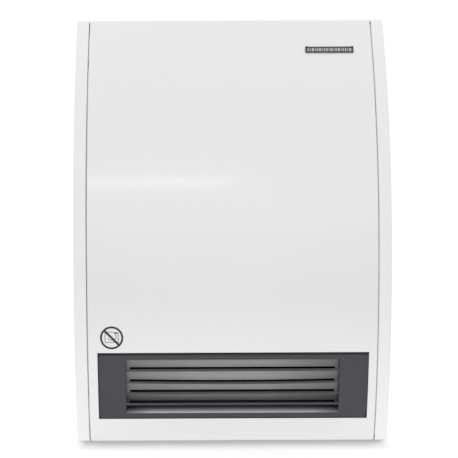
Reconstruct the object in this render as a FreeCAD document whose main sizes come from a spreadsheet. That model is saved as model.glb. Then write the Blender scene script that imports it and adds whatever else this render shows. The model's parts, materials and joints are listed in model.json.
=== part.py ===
import FreeCAD, Part
import math
import os
import Sketcher
from FreeCAD import Placement, Rotation, Vector

# Wall-hung downflow fan convector heater: intake slots on top, outlet grille low on the front.
# The wall is the plane Y = 0 and the heater stands out towards -Y; +X is to the right as seen
# from the room and +Z is up. The origin is the middle of the wall bracket's back face.
# "Depth" below is the distance out from the wall, depth = -Y. "Inset" is the distance
# behind the bowed outer face. All lengths are in millimetres.

doc = FreeCAD.newDocument("FanConvectorHeater")
sheet = doc.addObject("Spreadsheet::Sheet", "Dims")

# alias, value, meaning
SIZES = [
    # overall shape
    ("overall_width", 336.0, "outside width over both cheeks"),
    ("overall_height", 460.0, "outside height"),
    ("belly_depth", 125.0, "greatest distance of the cover from the wall"),
    ("belly_level", -7.36, "height of the deepest point of the cover"),
    ("belly_radius", 919.5, "radius of the middle arc of the cover"),
    ("upper_radius", 637.1, "radius of the upper arc of the cover"),
    ("lower_radius", 684.9, "radius of the lower arc of the cover"),
    ("upper_knot", 0.0, "height where the middle arc meets the upper arc"),
    ("lower_knot", -80.0, "height where the middle arc meets the lower arc"),
    # cover
    ("cover_half_width", 153.8, "half width of the steel cover"),
    ("steel", 1.2, "cover and chassis sheet thickness"),
    ("cover_return", 13.0, "depth of the cover's side returns"),
    ("cover_rear", 4.0, "distance of the cover's top flange edge from the wall"),
    ("cover_edge_round", 1.6, "outer bend radius of the cover's sides"),
    ("bend_round", 3.1, "outer bend radius at the top and bottom of the front"),
    ("aperture_half_width", 144.3, "half width of the grille aperture"),
    ("aperture_shift", 0.5, "sideways offset of the grille aperture"),
    ("aperture_top", -131.2, "top of the grille aperture"),
    ("aperture_bottom", -204.3, "bottom of the grille aperture"),
    ("bottom_joggle", 3.5, "step up of the rear part of the bottom flange"),
    ("joggle_depth", 70.0, "distance of the joggle from the wall"),
    ("intake_slot_width", 4.0, "width of one intake slot in the cover's top"),
    ("intake_slot_pitch", 8.0, "pitch of the intake slots"),
    ("intake_slot_from", 22.0, "start of the intake slots"),
    ("intake_slot_to", 66.0, "end of the intake slots"),
    # cheeks
    ("cheek_inner", 154.8, "distance of the cheek's inner edge from the middle"),
    ("cheek_wall", 2.5, "cheek wall thickness"),
    ("cheek_round", 3.0, "outer edge radius of the cheek"),
    ("boss_radius", 4.5, "cheek screw boss radius"),
    # grille
    ("bezel_half_width", 147.8, "half width of the grille frame behind the cover"),
    ("bezel_top", -127.3, "top of the grille frame"),
    ("bezel_bottom", -207.2, "bottom of the grille frame"),
    ("bezel_inset", 1.45, "how far the frame sits below the cover's face"),
    ("bezel_back", 3.9, "depth of the frame's back face"),
    ("mouth_half_width", 114.2, "half width of the air outlet"),
    ("mouth_top", -139.1, "top of the air outlet"),
    ("mouth_bottom", -198.1, "bottom of the air outlet"),
    ("tunnel_depth", 14.2, "depth of the tunnel behind the outlet"),
    ("tunnel_wall", 1.6, "tunnel wall thickness"),
    ("slat_depth", 8.0, "depth of the louvre sheet behind the face"),
    ("slat_sheet", 0.8, "louvre sheet thickness"),
    ("slit_half_width", 111.4, "half length of a louvre slit at its lower edge"),
    ("slit_slant", 2.0, "slant of the slit ends"),
    ("sag", 1.3, "how far the second slit and bar hang in the middle"),
    ("bar_depth", 3.4, "depth of a front bar"),
    ("bar_inset", 1.0, "how far the bars sit below the cover's face"),
    # chassis
    ("chassis_rear", 10.0, "distance of the chassis sheet from the wall"),
    ("chassis_half_width", 153.2, "half width of the chassis"),
    ("chassis_side", 60.0, "how far the chassis sides reach from the wall"),
    ("chassis_top", 220.0, "top edge of the chassis sheet"),
    ("chassis_bottom", -223.8, "underside of the chassis bottom flange"),
    ("hook_half_pitch", 90.0, "half pitch of the bracket hooks"),
    ("hook_level", 60.0, "underside of the hook legs"),
    ("hook_width", 22.0, "width of a hook"),
    # bracket
    ("bracket_width", 222.0, "bracket width"),
    ("bracket_height", 170.0, "bracket height"),
    ("bracket_sheet", 1.5, "bracket sheet thickness"),
    ("hole_half_pitch", 60.0, "half pitch of the wall screw holes, both ways"),
    ("wall_hole_radius", 2.75, "wall screw hole radius"),
    # hinge of the cover
    ("hinge_depth", 6.0, "distance of the hinge line from the wall"),
    ("hinge_level", 226.5, "height of the hinge line"),
    ("hinge_pin_radius", 1.2, "hinge pin radius"),
    ("hinge_half_pitch", 110.0, "half distance between the hinges"),
    # fan
    ("fan_depth", 62.0, "distance of the fan axis from the wall"),
    ("fan_level", -85.0, "height of the fan axis"),
    ("fan_radius", 30.0, "radius of the fan wheel"),
    ("fan_left", -106.0, "left end of the fan wheel"),
    ("fan_right", 88.0, "right end of the fan wheel"),
    ("fan_disc", 1.2, "end disc thickness"),
    ("blade_count", 26.0, "number of blades"),
    ("shaft_radius", 3.0, "fan shaft radius"),
    ("shaft_gap", 0.05, "running clearance of the shaft"),
    ("duct_half_width", 114.6, "half inside width of the outlet duct"),
    # controls
    ("knob_depth", 50.0, "distance of the controls from the wall"),
    ("knob_level", 150.0, "height of the thermostat knob"),
    ("knob_radius", 17.6, "knob radius"),
    ("recess_radius", 18.8, "radius of the knob recess"),
    ("switch_level", 100.0, "height of the rocker switch"),
    # badge and symbol
    ("badge_x", 107.2, "middle of the plate"),
    ("badge_z", 194.1, "height of the plate"),
    ("badge_width", 52.2, "plate width"),
    ("badge_height", 7.2, "plate height"),
    ("badge_proud", 0.8, "how far the plate stands out"),
    ("symbol_x", -128.3, "middle of the round symbol"),
    ("symbol_z", -114.8, "height of the round symbol"),
    ("symbol_radius", 12.25, "outer radius of the symbol ring"),
    ("symbol_stroke", 2.0, "stroke of the ring"),
    ("symbol_proud", 0.2, "thickness of the symbol"),
]


class Size:
    """A length: its value, and the expression over the spreadsheet that gives it."""

    def __init__(self, value, text):
        self.value = float(value)
        self.text = text

    @staticmethod
    def of(number):
        return number if isinstance(number, Size) else Size(number, "(%.6f)" % float(number))

    def __add__(self, other):
        other = Size.of(other)
        return Size(self.value + other.value, "(%s + %s)" % (self.text, other.text))

    def __radd__(self, other):
        return Size.of(other) + self

    def __sub__(self, other):
        other = Size.of(other)
        return Size(self.value - other.value, "(%s - %s)" % (self.text, other.text))

    def __rsub__(self, other):
        return Size.of(other) - self

    def __mul__(self, other):
        other = Size.of(other)
        return Size(self.value * other.value, "(%s * %s)" % (self.text, other.text))

    def __rmul__(self, other):
        return Size.of(other) * self

    def __truediv__(self, other):
        other = Size.of(other)
        return Size(self.value / other.value, "(%s / %s)" % (self.text, other.text))

    def __neg__(self):
        return Size(0, "(0)") - self


class SizeTable:
    """Holds one Size per spreadsheet alias, as an attribute."""


dims = SizeTable()
for row, (alias, value, meaning) in enumerate(SIZES, start=1):
    sheet.set("A%d" % row, meaning)
    sheet.set("B%d" % row, "%s" % value)
    sheet.setAlias("B%d" % row, alias)
    setattr(dims, alias, Size(value, "Dims.%s" % alias))
doc.recompute()


def square_root(length):
    return Size(math.sqrt(length.value), "sqrt(%s)" % length.text)


def number(length):
    return length.value if isinstance(length, Size) else float(length)


def bind(obj, prop, length):
    """Sets a property, and ties it to the sheet when the length comes from there."""
    setattr(obj, prop, number(length))
    if isinstance(length, Size):
        obj.setExpression(prop, length.text)


def place(obj, x, y, z, rotation=None):
    obj.Placement = Placement(Vector(number(x), number(y), number(z)), rotation or Rotation())
    for key, length in (("x", x), ("y", y), ("z", z)):
        if isinstance(length, Size):
            obj.setExpression("Placement.Base.%s" % key, length.text)


NODES = []


def node(obj, label):
    """Marks an object as a finished piece, exported under its label."""
    obj.Label = label
    NODES.append(obj)


# Positions shared by several pieces
SIDES = (("left", -1), ("right", 1))
TOP = dims.overall_height / 2
BOTTOM = -TOP
HALF_WIDTH = dims.overall_width / 2
STEEL = dims.steel
COVER_SCREW_X = 70.0  # half pitch of the two screws in the bottom flange
COVER_SCREW_DEPTH = 34.0
CHEEK_SCREW_DEPTH = 30.0
CHEEK_SCREW_LEVELS = (190.0, 20.0, -60.0, -190.0)
EAR_OFFSETS = (-4.6, 3.1)  # left faces of the two ears, from the middle of a hinge
EAR_SHEET = 1.5
CABLE_X = -120.0
CABLE_LEVEL = 70.0
SWITCH_CASE = (8.0, 15.0)  # half sizes along Y and Z
SWITCH_BEZEL = (10.0, 17.0)
MOUNT_DEPTH = dims.chassis_rear + STEEL + 0.2  # back of the pieces fixed to the chassis
BORE_RADIUS = dims.shaft_radius + dims.shaft_gap
FRONT_START = 60.0  # depth where cuts and outlines through the front begin

# ---------------------------------------------------------------- solids


def around(middle, half):
    """The span that reaches half to both sides of the middle."""
    return middle - half, middle + half


def box(name, x_span, depth_span, z_span):
    obj = doc.addObject("Part::Box", name)
    bind(obj, "Length", x_span[1] - x_span[0])
    bind(obj, "Width", depth_span[1] - depth_span[0])
    bind(obj, "Height", z_span[1] - z_span[0])
    place(obj, x_span[0], -depth_span[1], z_span[0])
    return obj


TURN = {
    "x": Rotation(Vector(0, 1, 0), 90),
    "y": Rotation(Vector(1, 0, 0), -90),
    "z": Rotation(),
}


def cyl(name, axis, x, depth, z, radius, length):
    """A cylinder that starts at (x, depth, z) and runs along +axis; +y is towards the wall."""
    obj = doc.addObject("Part::Cylinder", name)
    bind(obj, "Radius", radius)
    bind(obj, "Height", length)
    place(obj, x, -depth, z, TURN[axis])
    return obj


def fuse(name, *objs):
    obj = doc.addObject("Part::MultiFuse", name)
    obj.Shapes = list(objs)
    obj.Refine = True
    return obj


def cut(name, base, *tools):
    obj = doc.addObject("Part::Cut", name)
    obj.Base = base
    obj.Tool = tools[0] if len(tools) == 1 else fuse(name + "_tools", *tools)
    obj.Refine = True
    return obj


def common(name, first, second):
    obj = doc.addObject("Part::MultiCommon", name)
    obj.Shapes = [first, second]
    return obj


def group(name, objs):
    """Several separate pieces of one kind that share one node."""
    obj = doc.addObject("Part::Compound", name)
    obj.Links = list(objs)
    return obj


# ---------------------------------------------------------------- sketched features


def new_body(name):
    return doc.addObject("PartDesign::Body", name)


def origin_feature(body, role):
    return next(f for f in body.Origin.OriginFeatures if f.Role == role)


def arc_between(start, end, radius, ccw):
    """The shorter arc from start to end, as sketch geometry."""
    (ax, ay), (bx, by) = start, end
    half = math.hypot(bx - ax, by - ay) / 2
    rise = math.sqrt(max(radius * radius - half * half, 0.0))
    ux, uy = (bx - ax) / (2 * half), (by - ay) / (2 * half)
    side = 1 if ccw else -1
    cx = (ax + bx) / 2 - uy * rise * side
    cy = (ay + by) / 2 + ux * rise * side
    angle_from = math.atan2(ay - cy, ax - cx)
    angle_to = math.atan2(by - cy, bx - cx)
    if not ccw:
        angle_from, angle_to = angle_to, angle_from
    while angle_to <= angle_from:
        angle_to += 2 * math.pi
    circle = Part.Circle(Vector(cx, cy, 0), Vector(0, 0, 1), radius)
    return Part.ArcOfCircle(circle, angle_from, angle_to)


def sketch(body, plane_name, name, loops, offset):
    """A sketch of closed loops. A loop is (points, arcs), where arcs maps the number of a
    segment to (radius, counterclockwise), or it is a circle ("circle", x, y, radius)."""
    sk = body.newObject("Sketcher::SketchObject", name)
    sk.AttachmentSupport = [(origin_feature(body, plane_name + "_Plane"), "")]
    sk.MapMode = "FlatFace"
    sk.AttachmentOffset = Placement(Vector(0, 0, number(offset)), Rotation())
    if isinstance(offset, Size):
        sk.setExpression("AttachmentOffset.Base.z", offset.text)
    ties = []

    def tie(kind, *args):
        length = args[-1]
        index = sk.addConstraint(Sketcher.Constraint(kind, *args[:-1], number(length)))
        if isinstance(length, Size):
            ties.append((index, length.text))

    def tie_point(geometry, vertex, x, y):
        tie("DistanceX", -1, 1, geometry, vertex, x)
        tie("DistanceY", -1, 1, geometry, vertex, y)

    for loop in loops:
        if loop[0] == "circle":
            _, x, y, radius = loop
            centre = Vector(number(x), number(y), 0)
            circle = Part.Circle(centre, Vector(0, 0, 1), number(radius))
            geometry = sk.addGeometry(circle, False)
            tie_point(geometry, 3, x, y)
            tie("Radius", geometry, radius)
            continue
        points, arcs = loop
        count = len(points)
        ends = []  # geometry, its vertex at the segment's start, its vertex at the end
        for i in range(count):
            start = [number(v) for v in points[i]]
            end = [number(v) for v in points[(i + 1) % count]]
            if i in arcs:
                radius, ccw = arcs[i]
                curve = arc_between(start, end, number(radius), ccw)
                vertices = (1, 2) if ccw else (2, 1)
            else:
                curve = Part.LineSegment(Vector(*start, 0), Vector(*end, 0))
                vertices = (1, 2)
            ends.append((sk.addGeometry(curve, False),) + vertices)
        for i in range(count):
            geometry, _, last = ends[i]
            following, first, _ = ends[(i + 1) % count]
            sk.addConstraint(Sketcher.Constraint("Coincident", geometry, last, following, first))
        for i in range(count):
            geometry, first, _ = ends[i]
            tie_point(geometry, first, *points[i])
            if i in arcs:
                tie("Radius", geometry, arcs[i][0])
    for index, text in ties:
        sk.setExpression("Constraints[%d]" % index, text)
    sk.Visibility = False
    return sk


# Pads and pockets both run along the normal of the sketch plane unless they are backwards.
# The normal is +X for YZ, -Y (out into the room) for XZ and +Z for XY. The offset is
# measured along it. In YZ sketches the first coordinate is Y, so it is minus the depth.


def pad(body, plane_name, name, loops, length, offset=0.0, midplane=False, backwards=False):
    sk = sketch(body, plane_name, name, loops, offset)
    feature = body.newObject("PartDesign::Pad", sk.Name + "_pad")
    feature.Profile = sk
    bind(feature, "Length", length)
    feature.Midplane = midplane
    feature.Reversed = backwards
    body.Tip = feature
    doc.recompute()
    return feature


def pocket(body, plane_name, name, loops, length, offset=0.0, midplane=False, backwards=False):
    sk = sketch(body, plane_name, name, loops, offset)
    before = body.Shape.Volume
    feature = body.newObject("PartDesign::Pocket", sk.Name + "_cut")
    feature.Profile = sk
    bind(feature, "Length", length)
    feature.Midplane = midplane
    feature.Reversed = not (backwards or midplane)
    body.Tip = feature
    doc.recompute()
    # A pocket that misses its body raises no error by itself.
    if not body.Shape.Volume < before - 0.01:
        raise RuntimeError("pocket %s cut nothing" % feature.Name)
    return feature


def fillet(body, pick, radius):
    """Rounds the edges of the body's tip whose bounding box pick() accepts."""
    tip = body.Tip
    edges = enumerate(tip.Shape.Edges, start=1)
    names = ["Edge%d" % i for i, edge in edges if pick(edge.BoundBox)]
    if not names:
        raise RuntimeError("no edge to round on " + body.Name)
    feature = body.newObject("PartDesign::Fillet", body.Name + "_round%d" % len(body.Group))
    feature.Base = (tip, names)
    bind(feature, "Radius", radius)
    body.Tip = feature
    doc.recompute()


def repeat_about_x(body, name, feature, count):
    pattern = body.newObject("PartDesign::PolarPattern", name)
    pattern.Originals = [feature]
    pattern.Axis = (origin_feature(body, "X_Axis"), [""])
    pattern.Angle = 360
    pattern.Occurrences = count
    body.Tip = pattern
    doc.recompute()


def rect(x_span, y_span, arcs=None):
    """A rectangular loop: bottom, right, top and left are segments 0 to 3."""
    (x0, x1), (y0, y1) = x_span, y_span
    return [(x0, y0), (x1, y0), (x1, y1), (x0, y1)], arcs or {}


# ---------------------------------------------------------------- the bowed front line
# Three tangent arcs in the side view. Centres and knots are (depth, z).

R_MID, R_UP, R_LOW = dims.belly_radius, dims.upper_radius, dims.lower_radius
MID_CENTRE = (dims.belly_depth - R_MID, dims.belly_level)


def on_arc(centre, radius, z):
    """Depth of an arc at a height."""
    return centre[0] + square_root(radius * radius - (z - centre[1]) * (z - centre[1]))


def towards(start, end, share):
    return (start[0] + (end[0] - start[0]) * share, start[1] + (end[1] - start[1]) * share)


UPPER_KNOT = (on_arc(MID_CENTRE, R_MID, dims.upper_knot), dims.upper_knot)
LOWER_KNOT = (on_arc(MID_CENTRE, R_MID, dims.lower_knot), dims.lower_knot)
UP_CENTRE = towards(UPPER_KNOT, MID_CENTRE, R_UP / R_MID)
LOW_CENTRE = towards(LOWER_KNOT, MID_CENTRE, R_LOW / R_MID)


def face_depth(z, inset=0.0):
    """Depth of the bowed line at height z, at an inset behind the outer face."""
    level = number(z)
    if level >= dims.upper_knot.value:
        return on_arc(UP_CENTRE, R_UP - inset, Size.of(z))
    if level >= dims.lower_knot.value:
        return on_arc(MID_CENTRE, R_MID - inset, Size.of(z))
    return on_arc(LOW_CENTRE, R_LOW - inset, Size.of(z))


def face_point(z, inset):
    """The (Y, Z) point of the bowed line at height z."""
    return -face_depth(z, inset), z


def full_outline(inset, top, bottom, rear):
    """Closed outline in (Y, Z): top, the three arcs at an inset, bottom, rear line."""
    upper = towards(UPPER_KNOT, MID_CENTRE, Size.of(inset) / R_MID)
    lower = towards(LOWER_KNOT, MID_CENTRE, Size.of(inset) / R_MID)
    points = [
        (-rear, top),
        face_point(top, inset),
        (-upper[0], upper[1]),
        (-lower[0], lower[1]),
        face_point(bottom, inset),
        (-rear, bottom),
    ]
    return points, {1: (R_UP - inset, True), 2: (R_MID - inset, True), 3: (R_LOW - inset, True)}


def skin_outline(outer, inner, top, bottom):
    """Closed outline of a skin between two insets, below the lower knot."""
    points = [
        face_point(top, outer),
        face_point(bottom, outer),
        face_point(bottom, inner),
        face_point(top, inner),
    ]
    return points, {0: (R_LOW - outer, True), 2: (R_LOW - inner, False)}


def front_bend(sheet_inset, top_reach, bottom_reach):
    """Picks the edges along X where the bowed face meets the top and the bottom.

    The reaches are depths that those edges lie beyond."""
    top = TOP.value - sheet_inset
    bottom = BOTTOM.value + sheet_inset

    def pick(bounds):
        if bounds.XLength < 10 or bounds.YLength > 0.01 or bounds.ZLength > 0.01:
            return False
        return (abs(bounds.ZMin - top) < 0.01 and bounds.YMin < -top_reach) or (
            abs(bounds.ZMin - bottom) < 0.01 and bounds.YMin < -bottom_reach
        )

    return pick


# ---------------------------------------------------------------- front cover
# Bowed sheet-steel cover: the face, a top flange with the intake slots, a joggled bottom
# flange, short side returns, and two hooks that hang it on the hinge pins.

SLOT_COUNT = 35


def cover_outline(inset, thickness, rear):
    """The full outline with a step in its bottom line, both moved in by a thickness."""
    bottom = BOTTOM + thickness
    step_y = -(dims.joggle_depth + thickness)
    points, arcs = full_outline(inset, TOP - thickness, bottom, rear)
    step_top = bottom + dims.bottom_joggle
    return points[:5] + [(step_y, bottom), (step_y, step_top), (-rear, step_top)], arcs


def cover_side_bend(bounds):
    side = bounds.XLength < 0.01 and abs(abs(bounds.XMin) - dims.cover_half_width.value) < 0.01
    long_or_short = bounds.ZLength > 60 or bounds.ZLength < 6
    return side and bounds.YMax < -74 and long_or_short and bounds.ZLength > 0.5


cover = new_body("front_panel_body")
cover_width = dims.cover_half_width * 2
block = cover_outline(0.0, 0.0, dims.cover_rear)
pad(cover, "YZ", "cover_side", [block], cover_width, midplane=True)
fillet(cover, front_bend(0.0, 75, 90), dims.bend_round)
fillet(cover, cover_side_bend, dims.cover_edge_round)
hollow = cover_outline(STEEL, STEEL, -10.0)
hollow_width = (dims.cover_half_width - STEEL) * 2
pocket(cover, "YZ", "cover_hollow", [hollow], hollow_width, midplane=True)
fillet(cover, front_bend(STEEL.value, 70, 88), dims.bend_round - STEEL)
# the sides are cut back to short returns
behind_returns = cover_outline(dims.cover_return, STEEL, -10.0)
pocket(cover, "YZ", "cover_sides_away", [behind_returns], cover_width + 10, midplane=True)
aperture = rect(
    around(dims.aperture_shift, dims.aperture_half_width),
    (dims.aperture_bottom, dims.aperture_top),
)
pocket(cover, "XZ", "cover_aperture", [aperture], 80.0, offset=FRONT_START)
flange_holes = [("circle", COVER_SCREW_X * sign, -COVER_SCREW_DEPTH, 2.2) for _, sign in SIDES]
pocket(cover, "XY", "cover_screw_holes", flange_holes, 18.0, offset=-240.0)

# one round-ended slot, repeated along the top flange
row_length = dims.intake_slot_pitch * (SLOT_COUNT - 1)
first_x = -(dims.intake_slot_pitch * ((SLOT_COUNT - 1) / 2.0))
slot_left, slot_right = around(first_x, dims.intake_slot_width / 2)
end_arc = (dims.intake_slot_width / 2 + 0.001, True)
slot_points = [
    (slot_left, -dims.intake_slot_from),
    (slot_left, -dims.intake_slot_to),
    (slot_right, -dims.intake_slot_to),
    (slot_right, -dims.intake_slot_from),
]
slot_loop = (slot_points, {1: end_arc, 3: end_arc})
slot = pocket(cover, "XY", "intake_slot", [slot_loop], 10.0, offset=225.0)
slot_row = cover.newObject("PartDesign::LinearPattern", "intake_slots")
slot_row.Originals = [slot]
slot_row.Direction = (origin_feature(cover, "X_Axis"), [""])
bind(slot_row, "Length", row_length)
slot_row.Occurrences = SLOT_COUNT
cover.Tip = slot_row
doc.recompute()


def cover_hook(side, sign):
    """A C-shaped tongue, open downwards, under the rear edge of the top flange."""
    middle = dims.hinge_half_pitch * sign
    depth, level = dims.hinge_depth, dims.hinge_level
    pin = dims.hinge_pin_radius
    body_span, cut_span = around(middle, 1.25), around(middle, 3.0)
    ring = cyl("hook_ring_" + side, "x", body_span[0], depth, level, pin + 1.05, 2.5)
    stem_z = (level + 0.9, TOP - STEEL * 0.5)
    stem = box("hook_stem_" + side, body_span, (depth - 1.0, depth + 6.0), stem_z)
    bore_radius = pin + dims.shaft_gap
    bore = cyl("hook_bore_" + side, "x", cut_span[0], depth, level, bore_radius, 6.0)
    mouth = box("hook_mouth_" + side, cut_span, around(depth, 0.9), (level - 5.0, level - 0.2))
    return cut("hook_" + side, fuse("hook_raw_" + side, ring, stem), bore, mouth)


cover_hooks = [cover_hook(side, sign) for side, sign in SIDES]
node(fuse("front_panel_all", cover, *cover_hooks), "front_panel")

# ---------------------------------------------------------------- cheeks
# Moulded side shells, open towards the middle and the wall; their fronts follow the cover.


def cheek(side, sign):
    body = new_body(side + "_cheek_body")
    left_side = sign < 0
    inner_x = dims.cheek_inner * sign
    chassis_x = dims.chassis_half_width
    width = HALF_WIDTH - dims.cheek_inner
    wall = dims.cheek_wall
    outer_x = HALF_WIDTH.value * sign

    def add(operation, name, loops, length, offset):
        operation(body, "YZ", side + name, loops, length, offset=offset, backwards=left_side)

    def outer_edge(bounds):
        on_side = bounds.XLength < 0.01 and abs(bounds.XMin - outer_x) < 0.01
        return on_side and bounds.YMin < -1

    def screw_circles(radius):
        return [("circle", -CHEEK_SCREW_DEPTH, z, radius) for z in CHEEK_SCREW_LEVELS]

    add(pad, "_cheek_outline", [full_outline(0.0, TOP, BOTTOM, 0.0)], width, inner_x)
    fillet(body, front_bend(0.0, 75, 90), dims.bend_round)
    fillet(body, outer_edge, dims.cheek_round)
    inner = full_outline(wall, TOP - wall, BOTTOM + wall, -10.0)
    add(pocket, "_cheek_hollow", [inner], width - wall, inner_x)
    # screw bosses that reach the chassis side
    boss_length = HALF_WIDTH - chassis_x - wall
    add(pad, "_bosses", screw_circles(dims.boss_radius), boss_length, (chassis_x + 0.02) * sign)
    add(pocket, "_boss_holes", screw_circles(1.6), 9.0, chassis_x * sign)
    return body


node(cheek("left", -1), "left_cheek")

# the right cheek carries the knob recess and the switch opening
right_cheek = cheek("right", 1)
cup_floor = HALF_WIDTH - 8.5


def knob_circle(radius):
    return [("circle", -dims.knob_depth, dims.knob_level, radius)]


def switch_rect(halves):
    """The switch outline in (Y, Z), with a clearance of 0.1 all round."""
    return [
        rect(
            around(-dims.knob_depth, halves[0] + 0.1),
            around(dims.switch_level, halves[1] + 0.1),
        )
    ]


cup_length = HALF_WIDTH - dims.cheek_wall - cup_floor + 2.1
cup = knob_circle(dims.recess_radius + 2.0)
pad(right_cheek, "YZ", "knob_cup", cup, cup_length, offset=cup_floor - 2.0)
for name, loops, length, offset in (
    ("knob_recess", knob_circle(dims.recess_radius), 20.0, cup_floor),
    ("knob_shaft_hole", knob_circle(4.6), 20.0, cup_floor - 5.0),
    ("switch_window", switch_rect(SWITCH_CASE), 10.0, HALF_WIDTH - 6.0),
    ("switch_seat", switch_rect(SWITCH_BEZEL), 5.0, HALF_WIDTH - 1.3),
):
    pocket(right_cheek, "YZ", name, loops, length, offset=offset)
node(right_cheek, "right_cheek")

# ---------------------------------------------------------------- outlet grille
# Moulded frame behind the cover's aperture, a short tunnel behind its mouth and four slim bars.

BARS = [(-149.2, -151.7), (-162.5, -164.6), (-174.5, -176.8), (-186.8, -189.1)]  # top, bottom
SLITS = [(-147.9, -151.1), (-161.2, -164.5), (-173.0, -176.6), (-185.9, -189.5)]
HANGING = 1  # number of the bar and slit that hang in the middle

mouth_half, sag = dims.mouth_half_width, dims.sag
mouth_span = around(0.0, mouth_half)
hang_radius = (mouth_half * mouth_half + sag * sag) / (sag * 2.0)

grille = new_body("outlet_grille_body")
bezel = skin_outline(dims.bezel_inset, dims.bezel_back, dims.bezel_top, dims.bezel_bottom)
pad(grille, "YZ", "bezel_skin", [bezel], dims.bezel_half_width * 2, midplane=True)
tunnel = skin_outline(
    dims.bezel_back - 0.2,
    dims.tunnel_depth,
    dims.mouth_top + dims.tunnel_wall,
    dims.mouth_bottom - dims.tunnel_wall,
)
tunnel_width = mouth_half * 2 + dims.tunnel_wall * 2
pad(grille, "YZ", "tunnel_block", [tunnel], tunnel_width, midplane=True)
mouth_loop = rect(mouth_span, (dims.mouth_bottom, dims.mouth_top))
pocket(grille, "XZ", "mouth", [mouth_loop], 90.0, offset=FRONT_START)
for i, (high, low) in enumerate(BARS):
    bar_front, bar_back = dims.bar_inset, dims.bar_depth + dims.bar_inset
    if i == HANGING:
        low = low - sag
    bar_points = [
        face_point(high, bar_front),
        face_point(low, bar_front),
        face_point(low + 0.35, bar_back),
        face_point(high - 0.25, bar_back),
    ]
    bar_name = "bar_%d" % (i + 1)
    pad(grille, "YZ", bar_name, [(bar_points, {})], mouth_half * 2 + 1, midplane=True)
# the second bar is made too tall, then cut above and below to a hanging curve
high, low = BARS[HANGING]
hang_cuts = [
    rect(mouth_span, (high, high + 2.5), {0: (hang_radius, True)}),
    rect(mouth_span, (low - 3.5, low), {2: (hang_radius, False)}),
]
pocket(grille, "XZ", "bar_hang", hang_cuts, 90.0, offset=FRONT_START)
node(grille, "outlet_grille")

# Louvre sheet: one slit behind each bar; below the third slit the sheet leans back.
LEAN_TOP, LEAN_BOTTOM, LOUVRE_END = -177.3, -185.7, -190.2
louvre_inset, louvre_sheet = dims.slat_depth, dims.slat_sheet
louvre_back = louvre_inset + louvre_sheet
deep_inset = louvre_inset + 4.6
louvre_top = dims.mouth_top - 0.1
louvre_width = (mouth_half - 0.1) * 2

louvre = new_body("outlet_louvre_body")
louvre_points = [
    face_point(louvre_top, louvre_inset),
    face_point(LEAN_TOP, louvre_inset),
    face_point(LEAN_BOTTOM, deep_inset),
    face_point(LOUVRE_END, deep_inset),
    face_point(LOUVRE_END, deep_inset + louvre_sheet),
    face_point(LEAN_BOTTOM, deep_inset + louvre_sheet),
    face_point(LEAN_TOP, louvre_back),
    face_point(louvre_top, louvre_back),
]
louvre_arcs = {0: (R_LOW - louvre_inset, True), 6: (R_LOW - louvre_back, False)}
pad(louvre, "YZ", "louvre_skin", [(louvre_points, louvre_arcs)], louvre_width, midplane=True)
slit_loops = []
for i, (high, low) in enumerate(SLITS):
    half = dims.slit_half_width + (1.4 if i == 3 else 0.0)
    upper_half = half - dims.slit_slant
    curves = {0: (hang_radius, True), 2: (hang_radius, False)} if i == HANGING else {}
    corners = [(-half, low), (half, low), (upper_half, high), (-upper_half, high)]
    slit_loops.append((corners, curves))
pocket(louvre, "XZ", "louvre_slits", slit_loops, 90.0, offset=FRONT_START)
node(louvre, "outlet_louvre_sheet")

# Scoop: the curved lower lip that turns the air out under the lowest bar.
SCOOP_TOP, SCOOP_BEND, SCOOP_LIP = -190.5, -192.0, -197.5
scoop_y = -face_depth(SCOOP_TOP, deep_inset)
lip_y = -face_depth(SCOOP_LIP, dims.bezel_inset)
scoop = new_body("outlet_scoop_body")
scoop_points = [
    (scoop_y, SCOOP_TOP),
    (scoop_y, SCOOP_BEND),
    (lip_y, SCOOP_LIP),
    (lip_y, SCOOP_LIP - 0.5),
    (scoop_y + louvre_sheet, SCOOP_BEND - 3.4),
    (scoop_y + louvre_sheet, SCOOP_TOP),
]
scoop_loop = (scoop_points, {1: (10.5, True)})
pad(scoop, "YZ", "scoop_line", [scoop_loop], louvre_width, midplane=True)
node(scoop, "outlet_scoop")

# ---------------------------------------------------------------- plate and symbol on the cover


def face_skin(name, proud, gap, width, middle):
    """A skin over the bowed face, from a small gap off the face to its proud height."""
    body = new_body(name)
    top, bottom = TOP - 10.0, BOTTOM + 10.0
    start = middle - width / 2
    outside = full_outline(-proud, top, bottom, 40.0)
    pad(body, "YZ", name + "_out", [outside], width, offset=start)
    inside = full_outline(-gap, top + 1.0, bottom - 1.0, 30.0)
    pocket(body, "YZ", name + "_in", [inside], width + 2.0, offset=start - 1.0)
    return body


badge_skin = face_skin("badge_skin", dims.badge_proud, 0.02, dims.badge_width + 4.0, dims.badge_x)
badge_prism = new_body("badge_outline")
badge_loop = rect(
    around(dims.badge_x, dims.badge_width / 2),
    around(dims.badge_z, dims.badge_height / 2),
)
pad(badge_prism, "XZ", "badge_rect", [badge_loop], 80.0, offset=FRONT_START)
fillet(badge_prism, lambda bounds: bounds.YLength > 70, 0.8)
node(common("name_badge_solid", badge_skin, badge_prism), "name_badge")

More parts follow.
